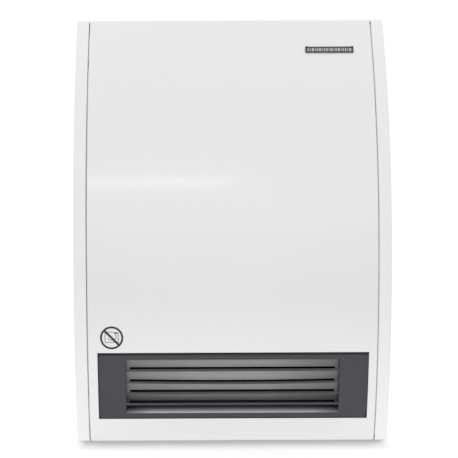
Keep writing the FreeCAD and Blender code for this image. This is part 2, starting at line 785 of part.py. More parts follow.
# a ring with a diagonal stroke from upper left to lower right
SLASH_HALF = 1.15
symbol_x, symbol_z = dims.symbol_x, dims.symbol_z
ring_inner = dims.symbol_radius - dims.symbol_stroke
symbol_skin = face_skin(
    "symbol_skin", dims.symbol_proud, 0.01, dims.symbol_radius * 2 + 4.0, symbol_x
)
symbol_prism = new_body("symbol_outline")
disc_loop = ("circle", symbol_x, symbol_z, dims.symbol_radius)
pad(symbol_prism, "XZ", "symbol_disc", [disc_loop], 90.0, offset=FRONT_START)
hole_loop = ("circle", symbol_x, symbol_z, ring_inner)
pocket(symbol_prism, "XZ", "symbol_hole", [hole_loop], 120.0, offset=50.0)
diagonal = math.sqrt(0.5)
far = (ring_inner + 0.5 + SLASH_HALF) * diagonal
near = (ring_inner + 0.5 - SLASH_HALF) * diagonal
slash_points = [
    (symbol_x - far, symbol_z + near),
    (symbol_x + near, symbol_z - far),
    (symbol_x + far, symbol_z - near),
    (symbol_x - near, symbol_z + far),
]
pad(symbol_prism, "XZ", "symbol_slash", [(slash_points, {})], 90.0, offset=FRONT_START)
node(common("symbol_solid", symbol_skin, symbol_prism), "no_cover_symbol")

# ---------------------------------------------------------------- cover screws
# Slotted screws driven upwards through the bottom flange, each with a round nut.


def cover_screw(side, sign):
    name = "cover_screw_" + side
    x, depth = COVER_SCREW_X * sign, COVER_SCREW_DEPTH
    head_z = BOTTOM + dims.bottom_joggle - 2.4
    head_radius, head_height = 3.8, 2.3
    head = cyl(name + "_head", "z", x, depth, head_z, head_radius, head_height)
    shank = cyl(name + "_shank", "z", x, depth, head_z + head_height, 2.0, 6.6)
    slot_depths = around(depth, head_radius + 1.0)
    drive = box(name + "_slot", around(x, 0.5), slot_depths, (head_z - 1.0, head_z + 0.8))
    screw = cut(name, fuse(name + "_raw", head, shank), drive)
    nut_z = dims.chassis_bottom + STEEL + 0.3
    nut = cyl("cover_clamp_" + side, "z", x, depth, nut_z, 4.0, 1.6)
    return fuse("cover_screw_full_" + side, screw, nut)


node(group("cover_screws_pair", [cover_screw(*side) for side in SIDES]), "cover_screws")

# ---------------------------------------------------------------- rear chassis
# Folded sheet-steel tray: back, two sides and a bottom flange, with stiffening beads,
# windows for the bracket hooks and openings for the cable and the controls.

BEADS = [(150.0, 220.0, 10.0), (20.0, 120.0, 8.0), (-160.0, 220.0, 10.0)]  # z, width, height

rear, half = dims.chassis_rear, dims.chassis_half_width
bottom, top = dims.chassis_bottom, dims.chassis_top
full_width = around(0.0, half)
side_depths = (rear, dims.chassis_side)
solids = [
    box("chassis_back", full_width, (rear, rear + STEEL), (bottom, top)),
    box("chassis_side_left", (-half, -half + STEEL), side_depths, (bottom, top)),
    box("chassis_side_right", (half - STEEL, half), side_depths, (bottom, top)),
    box("chassis_floor", full_width, (rear, 40.0), (bottom, bottom + STEEL)),
]
for i, (z, width, height) in enumerate(BEADS):
    bead_x, bead_z = around(0.0, width / 2), around(z, height / 2)
    solids.append(box("chassis_bead_%d" % i, bead_x, (rear - 2.0, rear + 0.2), bead_z))
hinge_d, hinge_z, pin_radius = dims.hinge_depth, dims.hinge_level, dims.hinge_pin_radius
for side, sign in SIDES:
    for j, offset in enumerate(EAR_OFFSETS):
        x = dims.hinge_half_pitch * sign + offset
        tag = "%s_%d" % (side, j)
        ear_x = (x, x + EAR_SHEET)
        nose_radius = pin_radius + 0.9
        solids += [
            box("hinge_ear_" + tag, ear_x, (hinge_d, 13.0), (top - 6.0, hinge_z + 1.6)),
            cyl("hinge_nose_" + tag, "x", x, hinge_d, hinge_z, nose_radius, EAR_SHEET),
            box("hinge_root_" + tag, ear_x, (hinge_d - 1.0, rear + STEEL), (top - 10.0, top)),
        ]
tray = fuse("chassis_raw", *solids)

tools = []
for side, sign in SIDES:
    window_x = around(dims.hook_half_pitch * sign, dims.hook_width / 2 + 2.0)
    window_z = (dims.hook_level - 12.4, dims.hook_level + 1.6)
    tools.append(box("hook_window_" + side, window_x, (rear - 3.0, rear + 5.0), window_z))
    for j, offset in enumerate(EAR_OFFSETS):
        x = dims.hinge_half_pitch * sign + offset - 1.0
        hole_name = "hinge_hole_%s_%d" % (side, j)
        tools.append(cyl(hole_name, "x", x, hinge_d, hinge_z, pin_radius, 3.5))
    # keyhole-free slot: straight towards the room, round at the screw
    x, depth, radius = COVER_SCREW_X * sign, COVER_SCREW_DEPTH, 2.6
    slot_z = (bottom - 1.0, bottom + 3.0)
    tools.append(box("screw_slot_" + side, around(x, radius), (depth, 45.0), slot_z))
    tools.append(cyl("screw_slot_end_" + side, "z", x, depth, slot_z[0], radius, 4.0))
    for j, z in enumerate(CHEEK_SCREW_LEVELS):
        hole_name = "cheek_hole_%s_%d" % (side, j)
        tools.append(cyl(hole_name, "x", half * sign - 3.0, CHEEK_SCREW_DEPTH, z, 2.1, 6.0))
# the lower front corners of the sides are cut away so that the cover can swing past
corner_depths = (41.0, dims.chassis_side + 5.0)
corner_z = (bottom - 5.0, bottom + 12.0)
tools += [
    box("side_corner", around(0.0, half + 5.0), corner_depths, corner_z),
    cyl("cable_hole", "y", CABLE_X, 15.0, CABLE_LEVEL, 9.0, 10.0),
    cyl("thermostat_hole", "x", half - 3.0, dims.knob_depth, dims.knob_level, 5.0, 6.0),
    box(
        "switch_hole",
        around(half, 3.0),
        around(dims.knob_depth, SWITCH_CASE[0] + 0.6),
        around(dims.switch_level, SWITCH_CASE[1] + 0.6),
    ),
]
for i in range(6):
    z = 176.0 + 5.0 * i
    tools.append(box("rear_vent_%d" % i, (-60.0, 60.0), (5.0, 20.0), (z, z + 2.4)))
node(cut("rear_chassis_tray", tray, *tools), "rear_chassis")


def hinge_pin(side, sign):
    x = dims.hinge_half_pitch * sign - 5.4
    return cyl("hinge_pin_" + side, "x", x, hinge_d, hinge_z, pin_radius, 10.8)


node(group("hinge_pins_pair", [hinge_pin(*side) for side in SIDES]), "hinge_pins")

# ---------------------------------------------------------------- wall bracket
# A flat plate with two upturned hooks, two stiffening flanges, screw holes and two windows.

HOOK_REACH = 13.5

gauge, hook_z = dims.bracket_sheet, dims.hook_level
plate_x, plate_z = around(0.0, dims.bracket_width / 2), around(0.0, dims.bracket_height / 2)
solids = [box("bracket_plate", plate_x, (0.0, gauge), plate_z)]
for side, sign in SIDES:
    hook_x = around(dims.hook_half_pitch * sign, dims.hook_width / 2)
    lip_depths = (HOOK_REACH - gauge, HOOK_REACH)
    solids.append(box("hook_leg_" + side, hook_x, (0.0, HOOK_REACH), (hook_z, hook_z + gauge)))
    solids.append(box("hook_lip_" + side, hook_x, lip_depths, (hook_z, hook_z + 9.0)))
for i, z in enumerate((-70.0, 76.0)):
    solids.append(box("bracket_flange_%d" % i, (-100.0, 100.0), (0.0, 6.0), (z, z + gauge)))
tools = []
pitch, hole_radius = dims.hole_half_pitch, dims.wall_hole_radius
for i, (x_sign, z_sign) in enumerate(((-1, -1), (1, -1), (1, 1), (-1, 1))):
    x, z = pitch * x_sign, pitch * z_sign
    tools.append(cyl("wall_hole_%d" % i, "y", x, 5.0, z, hole_radius, 10.0))
for i, (_, sign) in enumerate(SIDES):
    window_x = around(57.0 * sign, 27.0)
    tools.append(box("bracket_window_%d" % i, window_x, (-1.0, 5.0), (-36.0, 36.0)))
node(cut("wall_bracket_sheet", fuse("bracket_raw", *solids), *tools), "wall_bracket")

# ---------------------------------------------------------------- fan
# A drum wheel of curved blades between discs; its shaft runs on to the motor at the right.

MOTOR_SCREW_PITCH = 21.0  # half pitch along Y, about the fan axis

fan_radius, disc, shaft_radius = dims.fan_radius, dims.fan_disc, dims.shaft_radius
fan_left, fan_right = dims.fan_left, dims.fan_right


def fan_ring(name, outer, inner, length, offset):
    circles = [("circle", 0.0, 0.0, outer), ("circle", 0.0, 0.0, inner)]
    pad(wheel, "YZ", name, circles, length, offset=offset)


wheel = new_body("fan_wheel_body")
fan_ring("disc_left", fan_radius, shaft_radius, disc, fan_left)
blade_points = [
    (fan_radius - 0.5, 0.0),
    (fan_radius - 6.6, 4.0),
    (fan_radius - 6.9, 3.4),
    (fan_radius - 0.5, -0.7),
]
blade_loop = (blade_points, {0: (8.0, True), 2: (8.6, False)})
blade_start = fan_left + disc - 0.1
blade_length = fan_right - fan_left - disc * 2 + 0.2
blade = pad(wheel, "YZ", "blade", [blade_loop], blade_length, offset=blade_start)
repeat_about_x(wheel, "blades", blade, int(dims.blade_count.value))
fan_ring("disc_right", fan_radius, shaft_radius, disc, fan_right - disc)
fan_ring("disc_mid_1", fan_radius, fan_radius - 8.0, disc, fan_left + 64.0)
fan_ring("disc_mid_2", fan_radius, fan_radius - 8.0, disc, fan_left + 129.0)
fan_ring("hub_left", 7.0, shaft_radius, 8.0, blade_start)
fan_ring("hub_right", 7.0, shaft_radius, 8.0, fan_right - disc - 7.9)
place(wheel, 0.0, -dims.fan_depth, dims.fan_level)
node(wheel, "fan_wheel")


def fan_cyl(name, x, radius, length, shift=0.0):
    """A cylinder along X on the fan axis, or shifted out from the wall."""
    return cyl(name, "x", x, dims.fan_depth + shift, dims.fan_level, radius, length)


def fan_tube(name, x, outer, inner, length):
    solid = fan_cyl(name + "_o", x, outer, length)
    return cut(name, solid, fan_cyl(name + "_i", x - 1.0, inner, length + 2.0))


node(fan_cyl("fan_shaft_rod", -119.0, shaft_radius, 250.0), "fan_shaft")
node(fan_tube("fan_bush_sleeve", -116.0, 6.0, BORE_RADIUS, 9.0), "fan_bearing_bush")
# mount of the bush: two wide collars and a waist that sits in the left end plate
collars = fuse(
    "bush_mount_raw",
    fan_tube("bm_a", -114.5, 10.5, 6.0, 2.4),
    fan_tube("bm_b", -112.0, 9.0, 6.0, 1.5),
    fan_tube("bm_c", -110.4, 10.5, 6.0, 1.9),
)
core = fan_tube("bm_d", -114.5, 8.8, 6.0, 6.0)
node(fuse("bush_mount_solid", collars, core), "fan_bush_mount")

# end plate outline, (depth, z)
END_OUTLINE = [
    (MOUNT_DEPTH, -44.0), (60.0, -44.0), (98.0, -60.0),
    (104.0, -90.0), (94.0, -120.8), (MOUNT_DEPTH, -120.8),
]
END_SHEET = 1.5
END_X = {"left": -112.0, "right": 92.0}  # left faces of the end plates
FOOT_SPAN = {"left": (-12.0, 0.5), "right": (1.0, 13.5)}  # from the plate's left face
FOOT_SCREW = {"left": -7.0, "right": 8.5}
FOOT_SCREW_LEVELS = (-60.0, -106.0)


def fan_end(side, holes):
    """An end plate with a foot against the chassis; holes are (depth shift, radius)."""
    x = END_X[side]
    name = "end_plate_" + side
    body = new_body(name)
    outline = ([(-depth, z) for depth, z in END_OUTLINE], {})
    pad(body, "YZ", name + "_o", [outline], END_SHEET, offset=x)
    for i, (shift, radius) in enumerate(holes):
        circle = ("circle", -(dims.fan_depth + shift), dims.fan_level, radius)
        pocket(body, "YZ", name + "_h%d" % i, [circle], END_SHEET + 2.0, offset=x - 1.0)
    foot_x = (x + FOOT_SPAN[side][0], x + FOOT_SPAN[side][1])
    foot = box("end_foot_" + side, foot_x, (MOUNT_DEPTH, MOUNT_DEPTH + 1.2), (-116.0, -48.0))
    foot_holes = [
        cyl("end_foot_hole_%s_%d" % (side, i), "y", x + FOOT_SCREW[side], 14.0, z, 2.1, 5.0)
        for i, z in enumerate(FOOT_SCREW_LEVELS)
    ]
    raw = fuse("fan_end_raw_" + side, body, foot)
    node(cut("fan_end_" + side, raw, *foot_holes), "fan_end_plate_" + side)


fan_end("left", [(0.0, 9.0)])
fan_end("right", [(0.0, 8.0), (-MOTOR_SCREW_PITCH, 2.0), (MOTOR_SCREW_PITCH, 2.0)])


def curved_sheet(name, points, thickness=1.0):
    """A bent sheet between the end plates: a smooth line through (depth, z) points,
    thickened."""
    left_x = END_X["left"] + END_SHEET + 0.2
    right_x = END_X["right"] - 0.2
    curve = Part.BSplineCurve()
    curve.interpolate([Vector(left_x, -depth, z) for depth, z in points])
    steps = 28
    start, end = curve.FirstParameter, curve.LastParameter
    near_points, far_points = [], []
    for k in range(steps + 1):
        parameter = start + (end - start) * k / steps
        point, tangent = curve.value(parameter), curve.tangent(parameter)[0]
        normal = tangent.cross(Vector(1, 0, 0))
        normal.normalize()
        near_points.append(point)
        far_points.append(point + normal * thickness)
    near_curve, far_curve = Part.BSplineCurve(), Part.BSplineCurve()
    near_curve.interpolate(near_points)
    far_curve.interpolate(far_points)
    outline = Part.Wire([
        near_curve.toShape(),
        Part.makeLine(near_points[-1], far_points[-1]),
        far_curve.toShape(),
        Part.makeLine(far_points[0], near_points[0]),
    ])
    obj = doc.addObject("Part::Feature", name)
    obj.Shape = Part.Face(outline).extrude(Vector(right_x - left_x, 0, 0))
    return obj


# scroll behind the wheel; its clearance grows towards the outlet
scroll_points = []
for k in range(9):
    angle = math.radians(128.0 + k * 10.5)
    radius = fan_radius.value + 3.5 + 0.9 * k
    depth = dims.fan_depth.value + radius * math.cos(angle)
    z = dims.fan_level.value + radius * math.sin(angle)
    scroll_points.append((depth, z))
scroll_points.append((26.5, -120.6))
node(curved_sheet("fan_scroll_sheet", scroll_points), "fan_scroll")

# tongue in front of the wheel, (depth, z)
TONGUE_POINTS = [
    (103.0, -86.0), (98.0, -88.0), (95.4, -92.0),
    (94.0, -98.0), (92.6, -110.0), (91.0, -120.6),
]
node(curved_sheet("fan_tongue_sheet", TONGUE_POINTS), "fan_tongue")

fan_screws = []
for side, _ in SIDES:
    for z in FOOT_SCREW_LEVELS:
        i = len(fan_screws)
        x = END_X[side] + FOOT_SCREW[side]
        head = cyl("fan_screw_h%d" % i, "y", x, 15.0, z, 3.5, 2.3)
        shank = cyl("fan_screw_s%d" % i, "y", x, 12.8, z, 1.9, 1.2)
        fan_screws.append(fuse("fan_screw_%d" % i, head, shank))
node(group("fan_unit_screws_all", fan_screws), "fan_unit_screws")

# ---------------------------------------------------------------- motor (shaded pole)

axis_d, axis_z = dims.fan_depth, dims.fan_level


def bolt_pair(names, x, radius, length):
    """Two cylinders on the motor screw axes: the one nearer the wall first."""
    shifts = (-MOTOR_SCREW_PITCH, MOTOR_SCREW_PITCH)
    return [fan_cyl(name, x, radius, length, shift) for name, shift in zip(names, shifts)]


stack = box("lamination", (104.0, 122.0), around(axis_d, 25.0), (axis_z - 20.0, axis_z + 42.0))
stator = cut(
    "motor_laminations",
    stack,
    fan_cyl("lam_bore", 100.0, 13.2, 30.0),
    box("lam_window", (100.0, 130.0), around(axis_d, 17.0), (axis_z + 21.0, axis_z + 28.0)),
    *bolt_pair(("lam_bolt_a", "lam_bolt_b"), 100.0, 2.0, 30.0),
)
node(stator, "motor_stator")

winding_z = (axis_z + 21.5, axis_z + 48.5)
winding = box("coil_outer", (97.6, 128.4), around(axis_d, 16.0), winding_z)
rounded = doc.addObject("Part::Fillet", "coil_round")
rounded.Base = winding
doc.recompute()
rounded.Edges = [
    (i, 4.0, 4.0)
    for i, edge in enumerate(winding.Shape.Edges, start=1)
    if edge.BoundBox.YLength > 30
]
core_z = (axis_z + 27.8, axis_z + 42.2)
coil_core = box("coil_core", (103.8, 122.2), around(axis_d, 30.0), core_z)
node(cut("motor_coil_wound", rounded, coil_core), "motor_coil")

drum = fan_cyl("rotor_drum", 105.0, 12.7, 16.0)
drum_ends = fan_cyl("rotor_end", 104.3, 9.0, 17.4)
rotor_raw = fuse("rotor_raw", drum, drum_ends)
rotor_bore = fan_cyl("rotor_bore", 100.0, shaft_radius, 30.0)
node(cut("motor_rotor_drum", rotor_raw, rotor_bore), "motor_rotor")


def bearing_bracket(name, bar_x, cup_x):
    """A flat bar along Y with a bearing cup in its middle."""
    start = bar_x[0]
    bar = box(name + "_bar", bar_x, around(axis_d, 25.0), around(axis_z, 8.0))
    cup_solid = fan_cyl(name + "_cup", cup_x[0], 8.0, cup_x[1] - cup_x[0])
    return cut(
        name,
        fuse(name + "_raw", bar, cup_solid),
        fan_cyl(name + "_bore", start - 10.0, BORE_RADIUS, 40.0),
        *bolt_pair((name + "_ha", name + "_hb"), start - 5.0, 2.0, 20.0),
    )


inner_bracket = bearing_bracket("bearing_bracket_inner", (98.2, 101.2), (94.5, 103.6))
outer_bracket = bearing_bracket("bearing_bracket_outer", (124.2, 127.2), (122.6, 130.0))
node(inner_bracket, "motor_bracket_inner")
node(outer_bracket, "motor_bracket_outer")

SPACER_SPANS = [(93.6, 98.1), (101.3, 103.9), (122.1, 124.1)]  # along X
spacers, motor_screws = [], []
for i, shift in enumerate((-MOTOR_SCREW_PITCH, MOTOR_SCREW_PITCH)):
    for j, (start, end) in enumerate(SPACER_SPANS):
        tag = "%d_%d" % (i, j)
        outside = fan_cyl("spacer_o_" + tag, start, 3.6, end - start, shift)
        inside = fan_cyl("spacer_i_" + tag, start - 1, 2.0, end - start + 2, shift)
        spacers.append(cut("spacer_" + tag, outside, inside))
    shank = fan_cyl("motor_screw_s%d" % i, 91.0, 1.9, 37.0, shift)
    head = fan_cyl("motor_screw_h%d" % i, 127.3, 3.4, 2.4, shift)
    motor_screws.append(fuse("motor_screw_%d" % i, shank, head))
node(group("motor_spacers_all", spacers), "motor_spacers")
node(group("motor_screws_all", motor_screws), "motor_screws")

# ---------------------------------------------------------------- heating element
# A frame of thin boards across the duct, with four coils along X through the cross boards.

COIL_LEVEL = -128.5
COIL_DEPTHS = (46.0, 56.5, 67.0, 77.5)

duct_half = dims.duct_half_width
frame_half = duct_half - 0.6
frame_x, frame_z = around(0.0, frame_half), around(COIL_LEVEL, 6.0)
boards = [
    box("board_front", frame_x, (86.0, 87.2), frame_z),
    box("board_rear", frame_x, (36.0, 37.2), frame_z),
]
for i, x in enumerate((-frame_half, -56.5, -0.5, 55.5, frame_half - 1.0)):
    boards.append(box("board_cross_%d" % i, (x, x + 1.0), (36.5, 86.7), frame_z))
frame_raw = fuse("element_raw", *boards)


def coil_cylinders(name, overhang, radius):
    """One cylinder per coil, reaching past the frame's ends by the overhang."""
    start, length = -frame_half - overhang, frame_half * 2 + 2 * overhang
    return [
        cyl(name + "%d" % i, "x", start, depth, COIL_LEVEL, radius, length)
        for i, depth in enumerate(COIL_DEPTHS)
    ]


coil_holes = coil_cylinders("coil_hole_", 1.0, 3.7)
node(cut("element_frame_mica", frame_raw, *coil_holes), "element_frame")
node(group("heating_coils_all", coil_cylinders("coil_", -2.0, 3.4)), "heating_coils")

# ---------------------------------------------------------------- outlet duct
# A curved rear wall, a short front lip and two flat sides. Points are (Y, Z).

BEND_POINTS = [
    (-28.0, -122.0), (-28.0, -152.0), (-80.0, -204.0), (-83.0, -204.0),
    (-83.0, -205.0), (-80.0, -205.0), (-27.0, -152.0), (-27.0, -122.0),
]
LIP_POINTS = [(-92.5, -122.0), (-99.0, -135.6), (-98.0, -136.2), (-91.5, -122.6)]
SIDE_POINTS = [
    (-27.0, -122.0), (-92.5, -122.0), (-99.0, -135.6),
    (-83.0, -205.0), (-80.0, -205.0), (-27.0, -152.0),
]
DUCT_SHEET = 1.0
BEND_RADIUS = 52.0  # inside of the curved wall

duct = new_body("outlet_duct_body")
duct_width = duct_half * 2 + DUCT_SHEET
outer_bend = (BEND_RADIUS + DUCT_SHEET, False)
bend_loop = (BEND_POINTS, {1: (BEND_RADIUS, True), 5: outer_bend})
pad(duct, "YZ", "duct_bend", [bend_loop], duct_width, midplane=True)
pad(duct, "YZ", "duct_front_lip", [(LIP_POINTS, {})], duct_width, midplane=True)
side_loop = (SIDE_POINTS, {4: outer_bend})
pad(duct, "YZ", "duct_side_right", [side_loop], DUCT_SHEET, offset=duct_half)
pad(duct, "YZ", "duct_side_left", [side_loop], DUCT_SHEET, offset=-duct_half - DUCT_SHEET)
node(duct, "outlet_duct")

# thermal cut-out on the right side of the duct, thermal fuse on its left
tab_x = (duct_half + 10.5, duct_half + 17.0)
cutout = fuse(
    "cutout_raw",
    cyl("cutout_can", "x", duct_half + 1.1, 60.0, -150.0, 8.0, 6.0),
    cyl("cutout_back", "x", duct_half + 7.0, 60.0, -150.0, 6.6, 4.0),
    box("cutout_tab_a", tab_x, (64.0, 64.8), (-153.0, -147.0)),
    box("cutout_tab_b", tab_x, (55.2, 56.0), (-153.0, -147.0)),
)
node(cutout, "thermal_cutout")
node(cyl("fuse_can", "z", -frame_half - 6.0, 56.0, -140.0, 2.2, 12.0), "thermal_fuse")

# ---------------------------------------------------------------- thermostat

SPINDLE_START = 143.2

knob_d, knob_z = dims.knob_depth, dims.knob_level
chassis_inside = dims.chassis_half_width - STEEL  # inner face of a chassis side
case_x = (124.0, chassis_inside - 0.2)
thermostat_solids = [
    box("thermostat_case", case_x, around(knob_d, 13.0), around(knob_z, 15.0)),
    cyl("thermostat_bush", "x", chassis_inside - 0.3, knob_d, knob_z, 4.5, 5.0),
]
for i, shift in enumerate((-8.0, 7.2)):
    tab_depths = (knob_d + shift, knob_d + shift + 0.8)
    tab = box("thermostat_tab_%d" % i, (117.5, 124.2), tab_depths, around(knob_z, 3.2))
    thermostat_solids.append(tab)
thermostat_raw = fuse("thermostat_raw", *thermostat_solids)
bore = cyl("thermostat_bore", "x", 143.0, knob_d, knob_z, BORE_RADIUS, 20.0)
node(cut("thermostat_shell", thermostat_raw, bore), "thermostat_body")
spindle_length = HALF_WIDTH - SPINDLE_START - 2.0
spindle = cyl(
    "thermostat_spindle", "x", SPINDLE_START, knob_d, knob_z, shaft_radius, spindle_length
)
node(spindle, "thermostat_shaft")


def centred_circle(radius, y=0.0):
    return [("circle", y, 0.0, radius)]


# fluted knob with a wider skirt, modelled on the X axis and then moved into the recess
knob = new_body("thermostat_knob_body")
knob_x = cup_floor + 0.4
knob_radius = dims.knob_radius
pad(knob, "YZ", "knob_skirt", centred_circle(knob_radius), 3.0, offset=knob_x)
pad(knob, "YZ", "knob_cap", centred_circle(knob_radius - 3.0), 5.0, offset=knob_x + 2.9)
flute_loop = centred_circle(1.4, y=knob_radius - 2.2)
flute = pocket(knob, "YZ", "knob_flute", flute_loop, 6.0, offset=knob_x + 3.0)
repeat_about_x(knob, "knob_flutes", flute, 24)
bore_length = HALF_WIDTH - knob_x - 0.9
pocket(knob, "YZ", "knob_bore", centred_circle(shaft_radius), bore_length, offset=knob_x - 1.0)
pointer_loop = rect((-0.6, 0.6), (6.0, 13.0))
pocket(knob, "YZ", "knob_pointer", [pointer_loop], 3.0, offset=knob_x + 7.3)
place(knob, 0.0, -knob_d, knob_z)
node(knob, "thermostat_knob")

# ---------------------------------------------------------------- rocker switch

PIVOT_X = 161.0
# side view of the rocker about its pivot, (x, z)
ROCKER_POINTS = [
    (-1.2, -8.0), (0.0, -12.4), (5.2, -12.4), (4.5, 0.0),
    (5.2, 12.4), (0.0, 12.4), (-1.2, 8.0), (-2.4, 0.0),
]

switch_z = dims.switch_level


def switch_box(name, x_span, halves):
    return box(name, x_span, around(knob_d, halves[0]), around(switch_z, halves[1]))


switch_bezel = switch_box("switch_bezel", (HALF_WIDTH - 1.3, HALF_WIDTH), SWITCH_BEZEL)
switch_case = switch_box("switch_case", (146.0, HALF_WIDTH - 1.2), SWITCH_CASE)
switch_hollow = switch_box("switch_hollow", (157.5, HALF_WIDTH + 1.0), (6.3, 13.4))
switch_tabs = [
    box(
        "switch_tab_%d" % i,
        (139.5, 146.2),
        around(knob_d, 3.0),
        (switch_z + shift, switch_z + shift + 0.8),
    )
    for i, shift in enumerate((-9.0, 8.2))
]
pivot = cyl("switch_pivot", "y", PIVOT_X, knob_d + 7.0, switch_z, 1.2, 14.0)
switch_shell = cut("switch_shell", fuse("switch_raw", switch_bezel, switch_case), switch_hollow)
node(fuse("switch_all", switch_shell, pivot, *switch_tabs), "switch_body")

rocker = new_body("switch_rocker_body")
pad(rocker, "XZ", "rocker_side", [(ROCKER_POINTS, {})], 12.0, midplane=True)
pocket(rocker, "XZ", "rocker_bore", centred_circle(1.26), 20.0, midplane=True)
place(rocker, PIVOT_X, -knob_d, switch_z, Rotation(Vector(0, 1, 0), -8.0))
node(rocker, "switch_rocker")

# ---------------------------------------------------------------- mains side

TERMINAL_X = (-134.0, -120.0, -106.0)
TERMINAL_LEVEL = 129.0

terminal_base = box(
    "terminal_base", (-142.0, -98.0), (MOUNT_DEPTH, 28.0), around(TERMINAL_LEVEL, 9.0)
)
tools = []
for i, x in enumerate(TERMINAL_X):
    tools.append(cyl("terminal_well_%d" % i, "y", x, 30.0, TERMINAL_LEVEL, 3.4, 9.0))
    tools.append(cyl("terminal_port_%d" % i, "z", x, 17.0, 118.0, 2.2, 22.0))
for i, x in enumerate((-127.0, -113.0)):
    gap_z = around(TERMINAL_LEVEL, 10.0)
    tools.append(box("terminal_gap_%d" % i, around(x, 1.0), (20.0, 30.0), gap_z))
node(cut("terminal_block_shell", terminal_base, *tools), "terminal_block")

terminal_screws = []
for i, x in enumerate(TERMINAL_X):
    head = cyl("terminal_screw_h%d" % i, "y", x, 26.0, TERMINAL_LEVEL, 2.6, 3.0)
    drive_z = around(TERMINAL_LEVEL, 0.4)
    drive = box("terminal_screw_slot_%d" % i, around(x, 4.0), (25.2, 27.0), drive_z)
    terminal_screws.append(cut("terminal_screw_%d" % i, head, drive))
node(group("terminal_screws_all", terminal_screws), "terminal_screws")

CLAMP_LEVEL = 98.0
CLAMP_SCREW_X = around(CABLE_X, 13.0)
clamp_z = around(CLAMP_LEVEL, 6.0)
clamp_raw = fuse(
    "clamp_raw",
    box("clamp_bar", around(CABLE_X, 17.0), (20.0, 24.0), clamp_z),
    box("clamp_foot_0", (-137.0, -129.0), (MOUNT_DEPTH, 20.5), clamp_z),
    box("clamp_foot_1", (-111.0, -103.0), (MOUNT_DEPTH, 20.5), clamp_z),
)
clamp = cut(
    "cable_clamp_solid",
    clamp_raw,
    cyl("clamp_hole_a", "y", CLAMP_SCREW_X[0], 30.0, CLAMP_LEVEL, 1.8, 30.0),
    cyl("clamp_hole_b", "y", CLAMP_SCREW_X[1], 30.0, CLAMP_LEVEL, 1.8, 30.0),
    cyl("clamp_groove", "z", CABLE_X, 18.0, 90.0, 3.6, 16.0),
)
node(clamp, "cable_clamp")
clamp_screws = []
for i, x in enumerate(CLAMP_SCREW_X):
    head = cyl("clamp_screw_h%d" % i, "y", x, 26.4, CLAMP_LEVEL, 3.2, 2.3)
    shank = cyl("clamp_screw_s%d" % i, "y", x, 24.2, CLAMP_LEVEL, 1.75, 12.6)
    clamp_screws.append(fuse("clamp_screw_%d" % i, head, shank))
node(group("clamp_screws_all", clamp_screws), "clamp_screws")

grommet_raw = fuse(
    "grommet_raw",
    cyl("grommet_mid", "y", CABLE_X, 13.6, CABLE_LEVEL, 8.95, 6.0),
    cyl("grommet_in", "y", CABLE_X, 13.6, CABLE_LEVEL, 11.0, 2.2),
    cyl("grommet_out", "y", CABLE_X, 9.8, CABLE_LEVEL, 11.0, 2.2),
)
grommet_bore = cyl("grommet_bore", "y", CABLE_X, 16.0, CABLE_LEVEL, 5.5, 12.0)
node(cut("grommet_ring", grommet_raw, grommet_bore), "cable_grommet")

earth = fuse(
    "earth_raw",
    cyl("earth_post", "y", -85.0, 24.0, 100.0, 2.0, 12.6),
    cyl("earth_nut", "y", -85.0, 17.4, 100.0, 3.8, 3.2),
    cyl("earth_washer", "y", -85.0, 14.0, 100.0, 4.8, 1.0),
)
node(earth, "earth_stud")

# ---------------------------------------------------------------- cheek screws
# Driven outwards from inside the chassis into the cheek bosses.


def outward_cyl(name, sign, start, z, radius, length):
    """A cylinder along X that starts at a distance from the middle, on either side."""
    x = start if sign > 0 else -start - length
    return cyl(name, "x", x, CHEEK_SCREW_DEPTH, z, radius, length)


cheek_screws = []
for side, sign in SIDES:
    for j, z in enumerate(CHEEK_SCREW_LEVELS):
        tag = "%s_%d" % (side, j)
        head = outward_cyl("cheek_screw_h_" + tag, sign, chassis_inside - 2.5, z, 3.5, 2.4)
        shank = outward_cyl("cheek_screw_s_" + tag, sign, chassis_inside - 0.3, z, 1.5, 8.0)
        cheek_screws.append(fuse("cheek_screw_" + tag, head, shank))
node(group("cheek_screws_all", cheek_screws), "cheek_screws")

# ---------------------------------------------------------------- wiring

WIRE_RADIUS = 1.25
WIRE_BEND = 5.0
# corners of each wire, (x, depth, z)
WIRE_RUNS = [
    [
        (-134.0, 17.0, 138.4), (-134.0, 17.0, 190.0), (136.0, 17.0, 190.0),
        (136.0, 50.0, 190.0), (136.0, 50.0, 165.4),
    ],
    [
        (-120.0, 17.0, 138.4), (-120.0, 17.0, 172.0), (112.0, 17.0, 172.0),
        (112.0, 17.0, 112.0), (112.0, 50.0, 112.0), (145.6, 50.0, 112.0),
    ],
    [
        (-106.0, 17.0, 138.4), (-106.0, 17.0, 158.0), (-147.0, 17.0, 158.0),
        (-147.0, 17.0, -128.0), (-147.0, 60.0, -128.0), (-118.0, 60.0, -128.0),
    ],
    [
        (132.0, 43.0, 134.6), (132.0, 43.0, 60.0), (132.0, 62.0, 60.0),
        (132.0, 62.0, -20.0), (113.0, 62.0, -20.0), (113.0, 62.0, -36.2),
    ],
    [
        (142.0, 50.0, 84.8), (142.0, 50.0, -138.0), (142.0, 60.0, -138.0),
        (142.0, 60.0, -150.0), (131.4, 60.0, -150.0),
    ],
]


